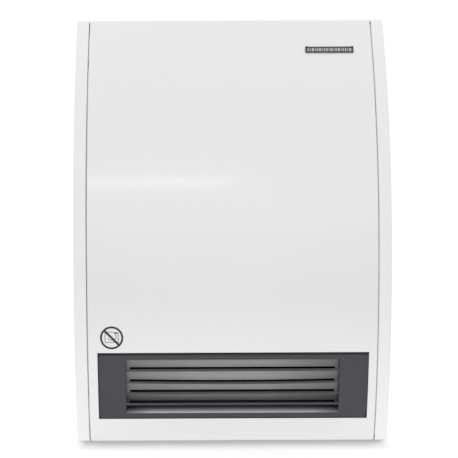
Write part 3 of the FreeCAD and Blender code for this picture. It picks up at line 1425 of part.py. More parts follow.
def wire_run(corners):
    """A round conductor along a polyline of right angles with rounded corners."""
    points = [Vector(x, -depth, z) for x, depth, z in corners]
    edges = []
    last = points[0]
    for before, corner, after in zip(points, points[1:], points[2:]):
        back, ahead = before - corner, after - corner
        bend = min(WIRE_BEND, back.Length * 0.45, ahead.Length * 0.45)
        back.normalize()
        ahead.normalize()
        arc_start, arc_end = corner + back * bend, corner + ahead * bend
        bisector = back + ahead
        bisector.normalize()
        arc_middle = corner + bisector * (bend * (math.sqrt(2.0) - 1.0))
        edges.append(Part.makeLine(last, arc_start))
        edges.append(Part.Arc(arc_start, arc_middle, arc_end).toShape())
        last = arc_end
    edges.append(Part.makeLine(last, points[-1]))
    direction = points[1] - points[0]
    direction.normalize()
    profile = Part.Wire([Part.makeCircle(WIRE_RADIUS, points[0], direction)])
    return Part.Wire(edges).makePipeShell([profile], True, False)


harness = doc.addObject("Part::Feature", "wiring_runs")
harness.Shape = Part.Compound([wire_run(run) for run in WIRE_RUNS])
node(harness, "wiring_harness")

# ---------------------------------------------------------------- validate and export

doc.recompute()
bad = [(o.Name, o.State) for o in doc.Objects if "Invalid" in o.State or "Error" in o.State]
for obj in NODES:
    if obj.Shape.isNull() or not obj.Shape.isValid() or not obj.Shape.Solids:
        bad.append((obj.Label, "shape"))
if bad:
    raise RuntimeError("failed: %s" % bad)
os.makedirs("parts", exist_ok=True)
for obj in NODES:
    obj.Shape.exportStep(os.path.join("parts", obj.Label + ".step"))
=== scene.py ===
"""An electric heater with a fan, heating coils, a curved front cover and a louvred outlet.

It stands upright in its frame: +X is its right, where the knob and rocker sit, the front cover
faces -Y and +Z is up. The origin is mid-width and near mid-height, behind the cover.
"""

import json
import math
from functools import cache
from itertools import cycle

import bmesh
import bpy
from mathutils import Matrix, Vector
from mathutils.bvhtree import BVHTree


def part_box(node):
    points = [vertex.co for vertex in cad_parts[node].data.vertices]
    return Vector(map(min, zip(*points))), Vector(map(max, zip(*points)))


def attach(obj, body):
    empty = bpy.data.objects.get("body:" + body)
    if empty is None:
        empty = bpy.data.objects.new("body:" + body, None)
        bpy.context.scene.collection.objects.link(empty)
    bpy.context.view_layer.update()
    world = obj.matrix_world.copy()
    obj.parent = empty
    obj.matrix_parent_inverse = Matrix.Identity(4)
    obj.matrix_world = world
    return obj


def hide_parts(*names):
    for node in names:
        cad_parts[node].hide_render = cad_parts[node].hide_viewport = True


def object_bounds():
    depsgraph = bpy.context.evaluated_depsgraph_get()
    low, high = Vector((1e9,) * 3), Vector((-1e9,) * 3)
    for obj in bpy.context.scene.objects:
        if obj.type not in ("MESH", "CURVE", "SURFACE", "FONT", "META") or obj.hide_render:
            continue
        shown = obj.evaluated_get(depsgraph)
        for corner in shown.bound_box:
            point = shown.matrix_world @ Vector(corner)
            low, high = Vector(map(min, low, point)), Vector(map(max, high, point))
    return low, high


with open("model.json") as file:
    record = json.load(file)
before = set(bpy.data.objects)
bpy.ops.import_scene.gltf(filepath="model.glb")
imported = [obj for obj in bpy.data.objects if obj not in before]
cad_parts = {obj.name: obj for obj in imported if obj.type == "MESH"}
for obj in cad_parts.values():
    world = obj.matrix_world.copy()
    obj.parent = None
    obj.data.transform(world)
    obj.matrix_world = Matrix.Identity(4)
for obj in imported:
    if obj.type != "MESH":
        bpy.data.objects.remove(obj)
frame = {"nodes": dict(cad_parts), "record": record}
cad_low, cad_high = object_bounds()
NODES = frame["nodes"]
MM = 0.001

scene = bpy.context.scene
scene.view_settings.view_transform = "Standard"
scene.view_settings.look = "None"
scene.view_settings.exposure = 0.0
scene.view_settings.gamma = 1.0

# ------------------------------------------------------------------ places shared by pieces

# The cover's outer face is three arcs in the (depth, z) plane, tangent where they join.
COVER_DEPTH = 0.125  # greatest depth of the middle arc
RADIUS_TOP, RADIUS_MIDDLE, RADIUS_LOW = 0.6371, 0.9195, 0.6849
MIDDLE_CENTRE = (COVER_DEPTH - RADIUS_MIDDLE, -0.00736)
JOIN_TOP, JOIN_LOW = 0.0, -0.080

# The opening in the cover round the grille, in metres
OPENING_X = (-0.1438, 0.1448)
OPENING_Z = (-0.2043, -0.1312)

# The controls on the right cheek, in mm
CONTROL_Y = -50.0
KNOB_Z = 150.0
ROCKER_X, ROCKER_Z = 161.0, 100.0
ROCKER_TILT = math.radians(-8.0)


# ------------------------------------------------------------------ node graph


MOST = (0.3, 0.7)  # the span that holds most values of a noise


class Graph:
    """A short way to write a node material. Input names are written with underscores."""

    def __init__(self, name):
        self.mat = bpy.data.materials.new(name)
        self.mat.use_nodes = True
        self.tree = self.mat.node_tree
        self.tree.nodes.clear()
        output = self.add("OutputMaterial")
        self.bsdf = self.add("BsdfPrincipled")
        self.put(output.inputs[0], self.bsdf.outputs[0])
        self.coord = self.add("TexCoord").outputs["Object"]

    def put(self, socket, value):
        if isinstance(value, bpy.types.NodeSocket):
            self.tree.links.new(value, socket)
        else:
            socket.default_value = value

    def fill(self, node, inputs):
        for key, value in inputs.items():
            self.put(node.inputs[key.replace("_", " ")], value)

    def add(self, kind, **inputs):
        node = self.tree.nodes.new("ShaderNode" + kind)
        self.fill(node, inputs)
        return node

    def set(self, **inputs):
        self.fill(self.bsdf, inputs)

    def mapped(self, scale):
        return self.add("Mapping", Vector=self.coord, Scale=scale).outputs[0]

    def noise(self, scale, detail=2.0, rough=0.5, vec=None, distort=0.0):
        node = self.add("TexNoise", Scale=scale, Detail=detail, Roughness=rough,
                        Distortion=distort, Vector=vec or self.coord)
        return node.outputs["Fac"]

    def voronoi(self, scale, vec=None, out="Distance"):
        return self.add("TexVoronoi", Scale=scale, Vector=vec or self.coord).outputs[out]

    def cells(self, scale, vec):
        """One random grey per Voronoi cell."""
        return self.add("RGBToBW", Color=self.voronoi(scale, vec, out="Color")).outputs[0]

    def bands(self, direction, **inputs):
        node = self.add("TexWave", Vector=self.coord, **inputs)
        node.bands_direction = direction
        return node.outputs["Fac"]

    def remap(self, value, span, to=(0.0, 1.0)):
        node = self.add("MapRange", Value=value, From_Min=span[0], From_Max=span[1],
                        To_Min=to[0], To_Max=to[1])
        return node.outputs["Result"]

    def mix(self, factor, first, second):
        node = self.add("Mix")
        node.data_type = "RGBA"
        self.put(node.inputs["Factor"], factor)
        for index, colour in ((6, first), (7, second)):
            is_socket = isinstance(colour, bpy.types.NodeSocket)
            self.put(node.inputs[index], colour if is_socket else (*colour, 1.0))
        return node.outputs[2]

    def math(self, operation, first, second=0.0):
        node = self.add("Math")
        node.operation = operation
        self.put(node.inputs[0], first)
        self.put(node.inputs[1], second)
        return node.outputs[0]

    def axis(self, which):
        return self.add("SeparateXYZ", Vector=self.coord).outputs[which]

    def edges(self):
        """1 on worn outer edges, 0 elsewhere."""
        pointiness = self.add("NewGeometry").outputs["Pointiness"]
        return self.remap(pointiness, span=(0.52, 0.60))

    def bump(self, height, strength, distance):
        """Adds a bump on top of any earlier one."""
        node = self.add("Bump", Strength=strength, Distance=distance, Height=height)
        normal = self.bsdf.inputs["Normal"]
        if normal.is_linked:
            self.put(node.inputs["Normal"], normal.links[0].from_socket)
        self.put(normal, node.outputs[0])


def shade(colour, gain):
    return tuple(min(1.0, channel * gain) for channel in colour)


# ------------------------------------------------------------------ materials


def powder_coat(name, colour, rough):
    """Glossy powder coat: faint orange peel and tone drift."""
    g = Graph(name)
    drift = g.noise(scale=3.0, detail=3.0)
    grain = g.noise(scale=420.0)
    base = g.mix(g.remap(drift, span=MOST), shade(colour, 0.985), shade(colour, 1.012))
    base = g.mix(g.remap(grain, span=(0.35, 0.65), to=(0.0, 0.25)), base, shade(colour, 0.985))
    roughness = g.remap(g.noise(scale=12.0), span=MOST, to=(rough - 0.02, rough + 0.02))
    g.set(Base_Color=base, Roughness=roughness, IOR=1.5, Specular_IOR_Level=0.4,
          Coat_Weight=1.0, Coat_Roughness=0.125, Coat_IOR=1.55)
    g.bump(g.noise(scale=900.0, detail=1.0), strength=0.05, distance=0.00002)
    return g.mat


def moulded(name, colour, rough=0.42, grain=1800.0, depth=0.00002, gloss=0.0, edge=0.25,
            tone=0.06, spec=0.5):
    """Moulded plastic: fine spark-eroded texture, soft tone drift and slightly polished edges."""
    g = Graph(name)
    drift = g.noise(scale=9.0, detail=3.0)
    speck = g.voronoi(scale=grain)
    base = g.mix(g.remap(drift, span=MOST), shade(colour, 1 - tone), shade(colour, 1 + tone))
    base = g.mix(g.remap(speck, span=(0.0, 0.8), to=(0.18, 0.0)), base, shade(colour, 0.85))
    base = g.mix(g.math("MULTIPLY", g.edges(), edge), base, shade(colour, 1.25))
    roughness = g.remap(g.noise(scale=60.0, detail=3.0), span=MOST,
                        to=(rough - 0.05, rough + 0.05))
    g.set(Base_Color=base, Roughness=roughness, IOR=1.5, Specular_IOR_Level=spec)
    if gloss:
        g.set(Coat_Weight=gloss, Coat_Roughness=0.08)
    g.bump(speck, strength=0.35, distance=depth)
    g.bump(g.noise(scale=grain * 0.6), strength=0.25, distance=depth)
    return g.mat


def galvanised(name, colour):
    """Hot-dip galvanised sheet: zinc spangles, each with its own tone and roughness."""
    g = Graph(name)
    vec = g.mapped(scale=(1, 1, 1))
    spangle = g.cells(scale=175.0, vec=vec)
    fern = g.noise(scale=260.0, detail=4.0, rough=0.6, vec=vec, distort=1.2)
    base = g.mix(g.remap(spangle, span=(0.2, 0.8)), shade(colour, 0.86), shade(colour, 1.08))
    base = g.mix(g.remap(fern, span=(0.35, 0.65), to=(0.0, 0.35)), base, shade(colour, 0.72))
    roughness = g.remap(spangle, span=(0.0, 1.0), to=(0.30, 0.52))
    g.set(Base_Color=base, Metallic=0.9, Roughness=roughness)
    g.bump(fern, strength=0.2, distance=0.00003)
    return g.mat


def turned(name, colour, rough=0.3, stretch=(1, 1, 1), grime=0.25):
    """Bright worked metal: fine directional scratches, faint tarnish, bright edges."""
    g = Graph(name)
    line = g.noise(scale=900.0, detail=3.0, rough=0.6, vec=g.mapped(scale=stretch))
    dirt = g.noise(scale=45.0, detail=4.0, rough=0.6)
    base = g.mix(g.remap(line, span=MOST), shade(colour, 0.88), shade(colour, 1.08))
    base = g.mix(g.remap(dirt, span=(0.5, 0.75), to=(0.0, grime)), base, shade(colour, 0.55))
    base = g.mix(g.math("MULTIPLY", g.edges(), 0.5), base, shade(colour, 1.2))
    roughness = g.remap(line, span=MOST, to=(rough - 0.06, rough + 0.10))
    g.set(Base_Color=base, Metallic=1.0, Roughness=roughness)
    g.bump(line, strength=0.15, distance=0.00002)
    return g.mat


def slat_grain(g):
    """Long fine grain along X."""
    return g.noise(scale=520.0, detail=3.0, rough=0.55, vec=g.mapped(scale=(0.03, 1, 1)))


def louvre_metal(name, colour):
    """Satin anodised pressed sheet: grain along the slats and painted shade low down and at the ends.
    """
    g = Graph(name)
    red, green, blue = colour
    line = slat_grain(g)
    patch = g.noise(scale=14.0, detail=3.0)
    base = g.mix(g.remap(line, span=MOST), shade(colour, 0.93), shade(colour, 1.05))
    base = g.mix(g.remap(patch, span=(0.4, 0.7), to=(0.0, 0.5)), base,
                 (red, green * 0.96, blue * 0.9))
    # Painted shade: the ends, the right-hand side and the lower slats are darkened in the colour.
    side = g.math("ABSOLUTE", g.axis("X"))
    base = g.mix(g.remap(side, span=(0.040, 0.114), to=(0.0, 0.42)), base, shade(colour, 0.30))
    right = g.remap(g.axis("X"), span=(0.030, 0.112), to=(0.0, 0.38))
    base = g.mix(right, base, shade(colour, 0.30))
    low = g.remap(g.axis("Z"), span=(-0.1755, -0.1858), to=(0.0, 0.75))
    base = g.mix(low, base, (red * 0.10, green * 0.09, blue * 0.11))
    roughness = g.remap(line, span=MOST, to=(0.42, 0.52))
    g.set(Base_Color=base, Metallic=0.15, Roughness=roughness)
    g.bump(line, strength=0.15, distance=0.00002)
    return g.mat


def scoop_metal(name, colour):
    """The scoop: bright along its front lip, with painted shade darkening the back of the throat."""
    g = Graph(name)
    line = slat_grain(g)
    base = g.mix(g.remap(line, span=MOST), shade(colour, 0.95), shade(colour, 1.05))
    # Painted shade: darker towards the ends and the right-hand side.
    side = g.math("ABSOLUTE", g.axis("X"))
    base = g.mix(g.remap(side, span=(0.086, 0.1135), to=(0.0, 0.80)), base, shade(colour, 0.12))
    right = g.remap(g.axis("X"), span=(0.030, 0.112), to=(0.0, 0.30))
    base = g.mix(right, base, shade(colour, 0.35))
    # Painted shade: near-black towards the back of the throat.
    throat_shade = g.remap(g.axis("Z"), span=(-0.1978, -0.1918), to=(0.0, 0.97))
    base = g.mix(throat_shade, base, (0.02, 0.018, 0.022))
    g.set(Base_Color=base, Metallic=0.1, Roughness=0.5)
    g.bump(line, strength=0.15, distance=0.00002)
    return g.mat


def mica_board(name, colour):
    """Pressed mica: flat flakes of varied tone."""
    g = Graph(name)
    flake = g.cells(scale=220.0, vec=g.mapped(scale=(1, 1, 3)))
    base = g.mix(g.remap(flake, span=(0.2, 0.8)), shade(colour, 0.8), shade(colour, 1.2))
    g.set(Base_Color=base, Roughness=0.45, Specular_IOR_Level=0.7, Metallic=0.1)
    g.bump(flake, strength=0.3, distance=0.00005)
    return g.mat


def laminated(name, colour):
    """Stacked steel laminations, seen as fine lines across X."""
    g = Graph(name)
    sheets = g.bands("X", Scale=320.0, Distortion=0.3)
    rust = g.noise(scale=120.0, detail=4.0)
    base = g.mix(sheets, shade(colour, 0.6), shade(colour, 1.15))
    base = g.mix(g.remap(rust, span=(0.55, 0.75), to=(0.0, 0.4)), base, (0.20, 0.11, 0.06))
    g.set(Base_Color=base, Metallic=0.8, Roughness=0.42)
    g.bump(sheets, strength=0.5, distance=0.00015)
    return g.mat


def copper_winding(name, colour):
    """Close-wound enamelled wire, turns running round the core."""
    g = Graph(name)
    wires = g.bands("Y", Scale=400.0, Distortion=0.8, Detail=1.0)
    base = g.mix(wires, shade(colour, 0.35), shade(colour, 1.2))
    g.set(Base_Color=base, Metallic=0.75, Roughness=0.3, Coat_Weight=0.4)
    g.bump(wires, strength=0.7, distance=0.0002)
    return g.mat


def rubbery(name, colour, rough=0.6):
    """Matt rubber, sheath or painted-shade strip with a little dust."""
    g = Graph(name)
    fine = g.noise(scale=900.0, detail=3.0)
    dust = g.noise(scale=70.0, detail=4.0)
    base = g.mix(g.remap(fine, span=MOST), shade(colour, 0.8), shade(colour, 1.2))
    base = g.mix(g.remap(dust, span=(0.55, 0.8), to=(0.0, 0.2)), base, shade(colour, 2.0))
    g.set(Base_Color=base, Roughness=rough)
    g.bump(fine, strength=0.3, distance=0.00004)
    return g.mat


# Material name: its maker and the settings passed to it
RECIPES = {
    "cover_paint": (powder_coat, dict(colour=(0.848, 0.841, 0.839), rough=0.30)),
    "cheek_plastic": (moulded, dict(colour=(0.888, 0.882, 0.880), grain=2200.0, depth=0.00001,
                                    edge=0.0, tone=0.008)),
    "grille_plastic": (moulded, dict(colour=(0.064, 0.061, 0.070), rough=0.55, edge=0.1,
                                     spec=0.3)),
    "louvre_metal": (louvre_metal, dict(colour=(0.43, 0.425, 0.42))),
    "badge_plate": (moulded, dict(colour=(0.035, 0.028, 0.028), rough=0.25, gloss=0.6)),
    "black_print": (moulded, dict(colour=(0.030, 0.030, 0.032), rough=0.4, depth=0.000005)),
    "zinc_steel": (turned, dict(colour=(0.66, 0.67, 0.66), rough=0.32)),
    "galvanised": (galvanised, dict(colour=(0.62, 0.64, 0.65))),
    "shaft_steel": (turned, dict(colour=(0.68, 0.68, 0.68), rough=0.2, stretch=(0.1, 1, 1))),
    "fan_aluminium": (turned, dict(colour=(0.78, 0.78, 0.79), stretch=(0.05, 1, 1),
                                   grime=0.15)),
    "bronze": (turned, dict(colour=(0.72, 0.50, 0.24), rough=0.35)),
    "black_rubber": (rubbery, dict(colour=(0.03, 0.03, 0.03))),
    "lamination": (laminated, dict(colour=(0.38, 0.38, 0.40))),
    "winding": (copper_winding, dict(colour=(0.70, 0.30, 0.12))),
    "diecast": (turned, dict(colour=(0.58, 0.59, 0.60), rough=0.45, grime=0.35)),
    "mica": (mica_board, dict(colour=(0.50, 0.42, 0.32))),
    "resistance_wire": (turned, dict(colour=(0.30, 0.27, 0.25), rough=0.4, grime=0.5)),
    "thermal_can": (turned, dict(colour=(0.62, 0.61, 0.58), rough=0.28)),
    "black_plastic": (moulded, dict(colour=(0.022, 0.022, 0.024), rough=0.3, gloss=0.3)),
    "knob_plastic": (moulded, dict(colour=(0.50, 0.50, 0.51))),
    "cream_plastic": (moulded, dict(colour=(0.76, 0.71, 0.60), rough=0.4, tone=0.03)),
    "wire_sheath": (rubbery, dict(colour=(0.45, 0.06, 0.035), rough=0.4)),
    # The duct's near-black colour is painted shade, so its inside reads dark.
    "duct_black": (rubbery, dict(colour=(0.012, 0.012, 0.012), rough=0.7)),
    "scoop_metal": (scoop_metal, dict(colour=(0.46, 0.46, 0.47))),
    "badge_rim": (moulded, dict(colour=(0.16, 0.11, 0.11), rough=0.35)),
    "badge_rib": (moulded, dict(colour=(0.50, 0.49, 0.49), rough=0.35)),
    "grey_print": (moulded, dict(colour=(0.20, 0.20, 0.21), rough=0.45, depth=0.000005)),
    "white_print": (moulded, dict(colour=(0.80, 0.80, 0.80), rough=0.4, tone=0.01)),
}
MATS = {name: maker(name, **settings) for name, (maker, settings) in RECIPES.items()}
# CAD nodes whose material differs from their slot
OWN_MATERIAL = {"outlet_scoop": "scoop_metal"}


def paint_cad():
    for part in frame["record"]["subparts"]:
        materials = NODES[part["node"]].data.materials
        materials.clear()
        materials.append(MATS[OWN_MATERIAL.get(part["node"], part["material_slot"])])


# ------------------------------------------------------------------ mesh helpers
# A mesh is passed round as a pair: vertices, faces.


def piece(name, mesh, material, body, smooth=True, angle=None, replaces=None):
    """A new object that rides on a CAD body; angle in degrees sets where edges turn sharp."""
    verts, faces = mesh
    me = bpy.data.meshes.new(name)
    me.from_pydata([tuple(v) for v in verts], [], faces)
    me.validate()
    me.update()
    if smooth:
        me.shade_smooth()
        if angle is not None:
            me.set_sharp_from_angle(angle=math.radians(angle))
    me.materials.append(material)
    obj = bpy.data.objects.new(name, me)
    scene.collection.objects.link(obj)
    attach(obj, body)
    if replaces:
        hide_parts(replaces)


def sweep(points, radius, sides):
    """Capped round tube along points; radius is one value, or a list with one per point."""
    points = [Vector(p) for p in points]
    last = len(points) - 1
    radii = radius if isinstance(radius, list) else [radius] * len(points)
    verts, faces = [], []
    tangent = (points[1] - points[0]).normalized()
    reference = Vector((0, 0, 1)) if abs(tangent.z) < 0.9 else Vector((1, 0, 0))
    across = tangent.cross(reference).normalized()
    for i, point in enumerate(points):
        tangent = (points[min(i + 1, last)] - points[max(i - 1, 0)]).normalized()
        across = (across - tangent * across.dot(tangent)).normalized()
        upward = tangent.cross(across)
        for k in range(sides):
            turn = 2 * math.pi * k / sides
            verts.append(point + across * (radii[i] * math.cos(turn))
                         + upward * (radii[i] * math.sin(turn)))
    for i in range(last):
        ring, following = i * sides, (i + 1) * sides
        for k in range(sides):
            k2 = (k + 1) % sides
            faces.append((ring + k, ring + k2, following + k2, following + k))
    faces.append(tuple(reversed(range(sides))))
    faces.append(tuple(last * sides + k for k in range(sides)))
    return verts, faces


def merge(meshes):
    verts, faces = [], []
    for part_verts, part_faces in meshes:
        base = len(verts)
        verts.extend(part_verts)
        faces.extend(tuple(i + base for i in face) for face in part_faces)
    return verts, faces


def rounded_run(points, bend, steps):
    """A polyline with its corners rounded over a length of bend."""
    points = [Vector(p) for p in points]
    run = [points[0]]
    for before, corner, after in zip(points, points[1:], points[2:]):
        reach = min(bend, (before - corner).length * 0.45, (after - corner).length * 0.45)
        start = corner + (before - corner).normalized() * reach
        end = corner + (after - corner).normalized() * reach
        for k in range(steps + 1):
            t = k / steps
            run.append(start * (1 - t) ** 2 + corner * 2 * t * (1 - t) + end * t * t)
    run.append(points[-1])
    return run


def box_mesh(xs, ys, zs):
    verts = [Vector((x, y, z)) for x in xs for y in ys for z in zs]
    faces = [(0, 1, 3, 2), (4, 6, 7, 5), (0, 4, 5, 1), (2, 3, 7, 6), (0, 2, 6, 4), (1, 5, 7, 3)]
    return verts, faces


def raised(loops, place, levels, back=False):
    """Thin plates from closed loops of 2D points; place(a, b, level) puts a point in space."""
    verts, faces = [], []
    for loop in loops:
        base, n = len(verts), len(loop)
        verts += [place(a, b, level) for level in levels for a, b in loop]
        faces.append(tuple(range(base + n, base + 2 * n)))
        if back:
            faces.append(tuple(reversed(range(base, base + n))))
        for k in range(n):
            k2 = (k + 1) % n
            faces.append((base + k, base + k2, base + n + k2, base + n + k))
    return verts, faces


@cache
def surface(node):
    obj = NODES[node]
    return BVHTree.FromPolygons([obj.matrix_world @ v.co for v in obj.data.vertices],
                                [tuple(face.vertices) for face in obj.data.polygons])


def front_y(node, x, z):
    """Y of a CAD node's front at (x, z); just off its edge, that of the nearest point."""
    point = surface(node).ray_cast(Vector((x, -0.4, z)), Vector((0, 1, 0)))[0]
    if point is None:
        point = surface(node).find_nearest(Vector((x, -0.12, z)))[0]
    return point.y


def decal(loops, node, lift, thick):
    """Thin raised marks that follow a CAD node's front; loops hold (x, z)."""
    return raised(loops, lambda x, z, up: Vector((x, front_y(node, x, z) - up, z)),
                  levels=(lift - thick, lift))


def rectangle(x0, x1, z0, z1):
    return [(x0, z0), (x1, z0), (x1, z1), (x0, z1)]


def stroke(points, width):
    """Quads of a constant-width stroke along (x, z) points."""
    left, right = [], []
    last = len(points) - 1
    for i, (x, z) in enumerate(points):
        before, after = points[max(i - 1, 0)], points[min(i + 1, last)]
        dx, dz = after[0] - before[0], after[1] - before[1]
        length = math.hypot(dx, dz)
        nx, nz = -dz / length * width / 2, dx / length * width / 2
        left.append((x + nx, z + nz))
        right.append((x - nx, z - nz))
    return [[right[i], right[i + 1], left[i + 1], left[i]] for i in range(last)]


def line(start, end, width, steps):
    """Quads of a straight stroke."""
    (x0, z0), (x1, z1) = start, end
    points = [(x0 + (x1 - x0) * k / steps, z0 + (z1 - z0) * k / steps) for k in range(steps + 1)]
    return stroke(points, width)


# ------------------------------------------------------------------ heating coils


def heating_coils():
    """Four coiled wires along X, each with a short bent lead at both ends."""
    count, turns, steps_per_turn = 4, 92, 12
    coil_radius, wire_radius, lead_radius = 2.95 * MM, 0.38 * MM, 0.5 * MM
    inset_x, inset_y = 1.2 * MM, 3.4 * MM
    lead_length, lead_reach, lead_back = 2.2 * MM, 3.0 * MM, 2.6 * MM
    low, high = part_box("heating_coils")
    zc = (low.z + high.z) / 2
    y_first, y_last = high.y - inset_y, low.y + inset_y
    x_first, x_last = low.x + inset_x, high.x - inset_x
    steps = turns * steps_per_turn
    wires, leads = [], []
    for i in range(count):
        yc = y_first + (y_last - y_first) * i / (count - 1)
        points = []
        for k in range(steps + 1):
            turn = 2 * math.pi * k / steps_per_turn
            x = x_first + (x_last - x_first) * k / steps
            points.append((x, yc + coil_radius * math.cos(turn),
                           zc + coil_radius * math.sin(turn)))
        wires.append(sweep(points, wire_radius, sides=5))
        for x, inward in ((low.x, 1), (high.x, -1)):
            lead = [(x, yc, zc), (x + inward * lead_length, yc, zc),
                    (x + inward * lead_reach, yc + lead_back, zc)]
            leads.append(sweep(lead, lead_radius, sides=8))
    metal = MATS["resistance_wire"]
    piece("coil_wire", merge(wires), metal, "housing",
          replaces="heating_coils")
    piece("coil_ends", merge(leads), metal, "housing")


# ------------------------------------------------------------------ wiring

# Object name, sheath colour, corners of the run as (x, depth in front of the origin, z) in mm
RUNS = [
    ("wire_live", (0.12, 0.045, 0.02), [
        (-134.0, 17.0, 138.4), (-134.0, 17.0, 190.0), (136.0, 17.0, 190.0),
        (136.0, 50.0, 190.0), (136.0, 50.0, 165.4)]),
    ("wire_switched", (0.02, 0.02, 0.02), [
        (-120.0, 17.0, 138.4), (-120.0, 17.0, 172.0), (112.0, 17.0, 172.0),
        (112.0, 17.0, 112.0), (112.0, 50.0, 112.0), (145.6, 50.0, 112.0)]),
    ("wire_neutral", (0.02, 0.09, 0.33), [
        (-106.0, 17.0, 138.4), (-106.0, 17.0, 158.0), (-147.0, 17.0, 158.0),
        (-147.0, 17.0, -128.0), (-147.0, 60.0, -128.0), (-118.0, 60.0, -128.0)]),
    ("wire_motor", (0.42, 0.05, 0.03), [
        (132.0, 43.0, 134.6), (132.0, 43.0, 60.0), (132.0, 62.0, 60.0),
        (132.0, 62.0, -20.0), (113.0, 62.0, -20.0), (113.0, 62.0, -36.2)]),
    ("wire_element", (0.55, 0.53, 0.48), [
        (142.0, 50.0, 84.8), (142.0, 50.0, -138.0), (142.0, 60.0, -138.0),
        (142.0, 60.0, -150.0), (131.4, 60.0, -150.0)]),
]
WIRE_RADIUS = 1.25 * MM
WIRE_BEND = 0.006
# (distance from the wire's end, radius) of a sleeve, in mm
SLEEVE = [(0.6, 1.3), (1.0, 1.75), (6.6, 1.75), (7.0, 1.3)]
FERRULE_LENGTH, FERRULE_RADIUS = 0.9 * MM, 1.0 * MM


def wiring():
    """Five sheathed wires with a sleeve and a ferrule at each end."""
    ferrules, sleeves = [], []
    for n, (name, colour, corners) in enumerate(RUNS):
        path = rounded_run([(x * MM, -depth * MM, z * MM) for x, depth, z in corners],
                           bend=WIRE_BEND, steps=7)
        sheath = rubbery(name + "_sheath", colour, rough=0.38)
        piece(name, sweep(path, WIRE_RADIUS, sides=14), sheath, "housing",
              replaces="wiring_harness" if n == 0 else None)
        for end, inner in ((path[0], path[1]), (path[-1], path[-2])):
            along = (inner - end).normalized()
            sleeves.append(sweep([end + along * distance * MM for distance, _ in SLEEVE],
                                 [radius * MM for _, radius in SLEEVE], sides=16))
            ferrules.append(sweep([end, end + along * FERRULE_LENGTH], FERRULE_RADIUS, sides=12))
    sleeve_material = rubbery("clear_sleeve", (0.62, 0.60, 0.56), rough=0.3)
    piece("wire_sleeves", merge(sleeves), sleeve_material, "housing", angle=40)
    piece("wire_ferrules", merge(ferrules), MATS["zinc_steel"], "housing",
          angle=40)


# ------------------------------------------------------------------ plate and symbol on the cover


def badge_marks():
    """A thin rim and a row of plain upright ribs on the plate."""
    rim_inset, rim_width = 0.35 * MM, 0.5 * MM
    rib_start, rib_stop = 2.4 * MM, 3.6 * MM  # from the left and right edges
    rib_inset_z, rib_gap = 1.9 * MM, 1.15 * MM
    rib_widths = cycle((1.5, 0.8, 2.2, 0.8, 1.4, 2.2, 0.8, 1.4))
    low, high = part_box("name_badge")

    corners = rectangle(low.x + rim_inset, high.x - rim_inset,
                        low.z + rim_inset, high.z - rim_inset)
    rim = []
    for i in range(4):
        rim += line(corners[i], corners[(i + 1) % 4], rim_width, steps=12)
    mesh = decal(rim, "name_badge", lift=0.12 * MM, thick=0.3 * MM)
    piece("badge_rim", mesh, MATS["badge_rim"], "front_cover", smooth=False)

    ribs = []
    x = low.x + rib_start
    while x < high.x - rib_stop:
        width = next(rib_widths) * MM
        ribs.append(rectangle(x, x + width, low.z + rib_inset_z, high.z - rib_inset_z))
        x += width + rib_gap
    mesh = decal(ribs, "name_badge", lift=0.14 * MM, thick=0.3 * MM)
    piece("badge_ribs", mesh, MATS["badge_rib"], "front_cover", smooth=False)


def symbol_pictogram():
    """A plain box with a hanging cloth inside the ring, low on the left of the cover."""
    cx, cz = -128.3 * MM, -114.8 * MM
    half_width, half_height, rise = 7.0 * MM, 5.2 * MM, 0.3 * MM
    pen = 0.75 * MM
    zc = cz + rise
    left, right = cx - half_width, cx + half_width
    bottom, top = zc - half_height, zc + half_height
    peak = (cx - 2.0 * MM, top + 0.9 * MM)
    quads = []
    for start, end in (
        ((left, bottom), (right, bottom)),
        ((left, bottom), (left, top)),
        ((right, bottom), (right, top)),
        ((left, top), peak),
        (peak, (right, top)),
    ):
        quads += line(start, end, pen, steps=6)

    # The cloth: an arc that hangs below its two ends
    arc_x, arc_z = cx + 0.2 * MM, zc + 0.8 * MM
    arc_width, arc_height = 4.6 * MM, 3.6 * MM
    arc = []
    for k in range(25):
        angle = math.radians(200 + 200 * k / 24)
        arc.append((arc_x + arc_width * math.cos(angle), arc_z + arc_height * math.sin(angle)))
    quads += stroke(arc, pen)
    mesh = decal(quads, "front_panel", lift=0.08 * MM, thick=0.15 * MM)
    piece("symbol_box", mesh, MATS["grey_print"], "front_cover", smooth=False)

    tab = rectangle(cx + 2.6 * MM, cx + 6.0 * MM, zc + 3.9 * MM, zc + 4.9 * MM)
    mesh = decal([tab], "front_panel", lift=0.10 * MM, thick=0.17 * MM)
    piece("symbol_tab", mesh, MATS["black_print"], "front_cover", smooth=False)


# ------------------------------------------------------------------ painted shade strips round the cover


def arc_depth(radius, centre, z):
    return centre[0] + math.sqrt(max(0.0, radius * radius - (z - centre[1]) ** 2))


def joined_centre(radius, z):
    """Centre of an arc that meets the middle arc at z, tangent to it."""
    depth = arc_depth(RADIUS_MIDDLE, MIDDLE_CENTRE, z)
    out_depth = (depth - MIDDLE_CENTRE[0]) / RADIUS_MIDDLE
    out_z = (z - MIDDLE_CENTRE[1]) / RADIUS_MIDDLE
    return (depth - out_depth * radius, z - out_z * radius)


def face_y(z):
    """Y of the cover's outer face at height z."""
    if z >= JOIN_TOP:
        return -arc_depth(RADIUS_TOP, joined_centre(RADIUS_TOP, JOIN_TOP), z)
    if z >= JOIN_LOW:
        return -arc_depth(RADIUS_MIDDLE, MIDDLE_CENTRE, z)
    return -arc_depth(RADIUS_LOW, joined_centre(RADIUS_LOW, JOIN_LOW), z)


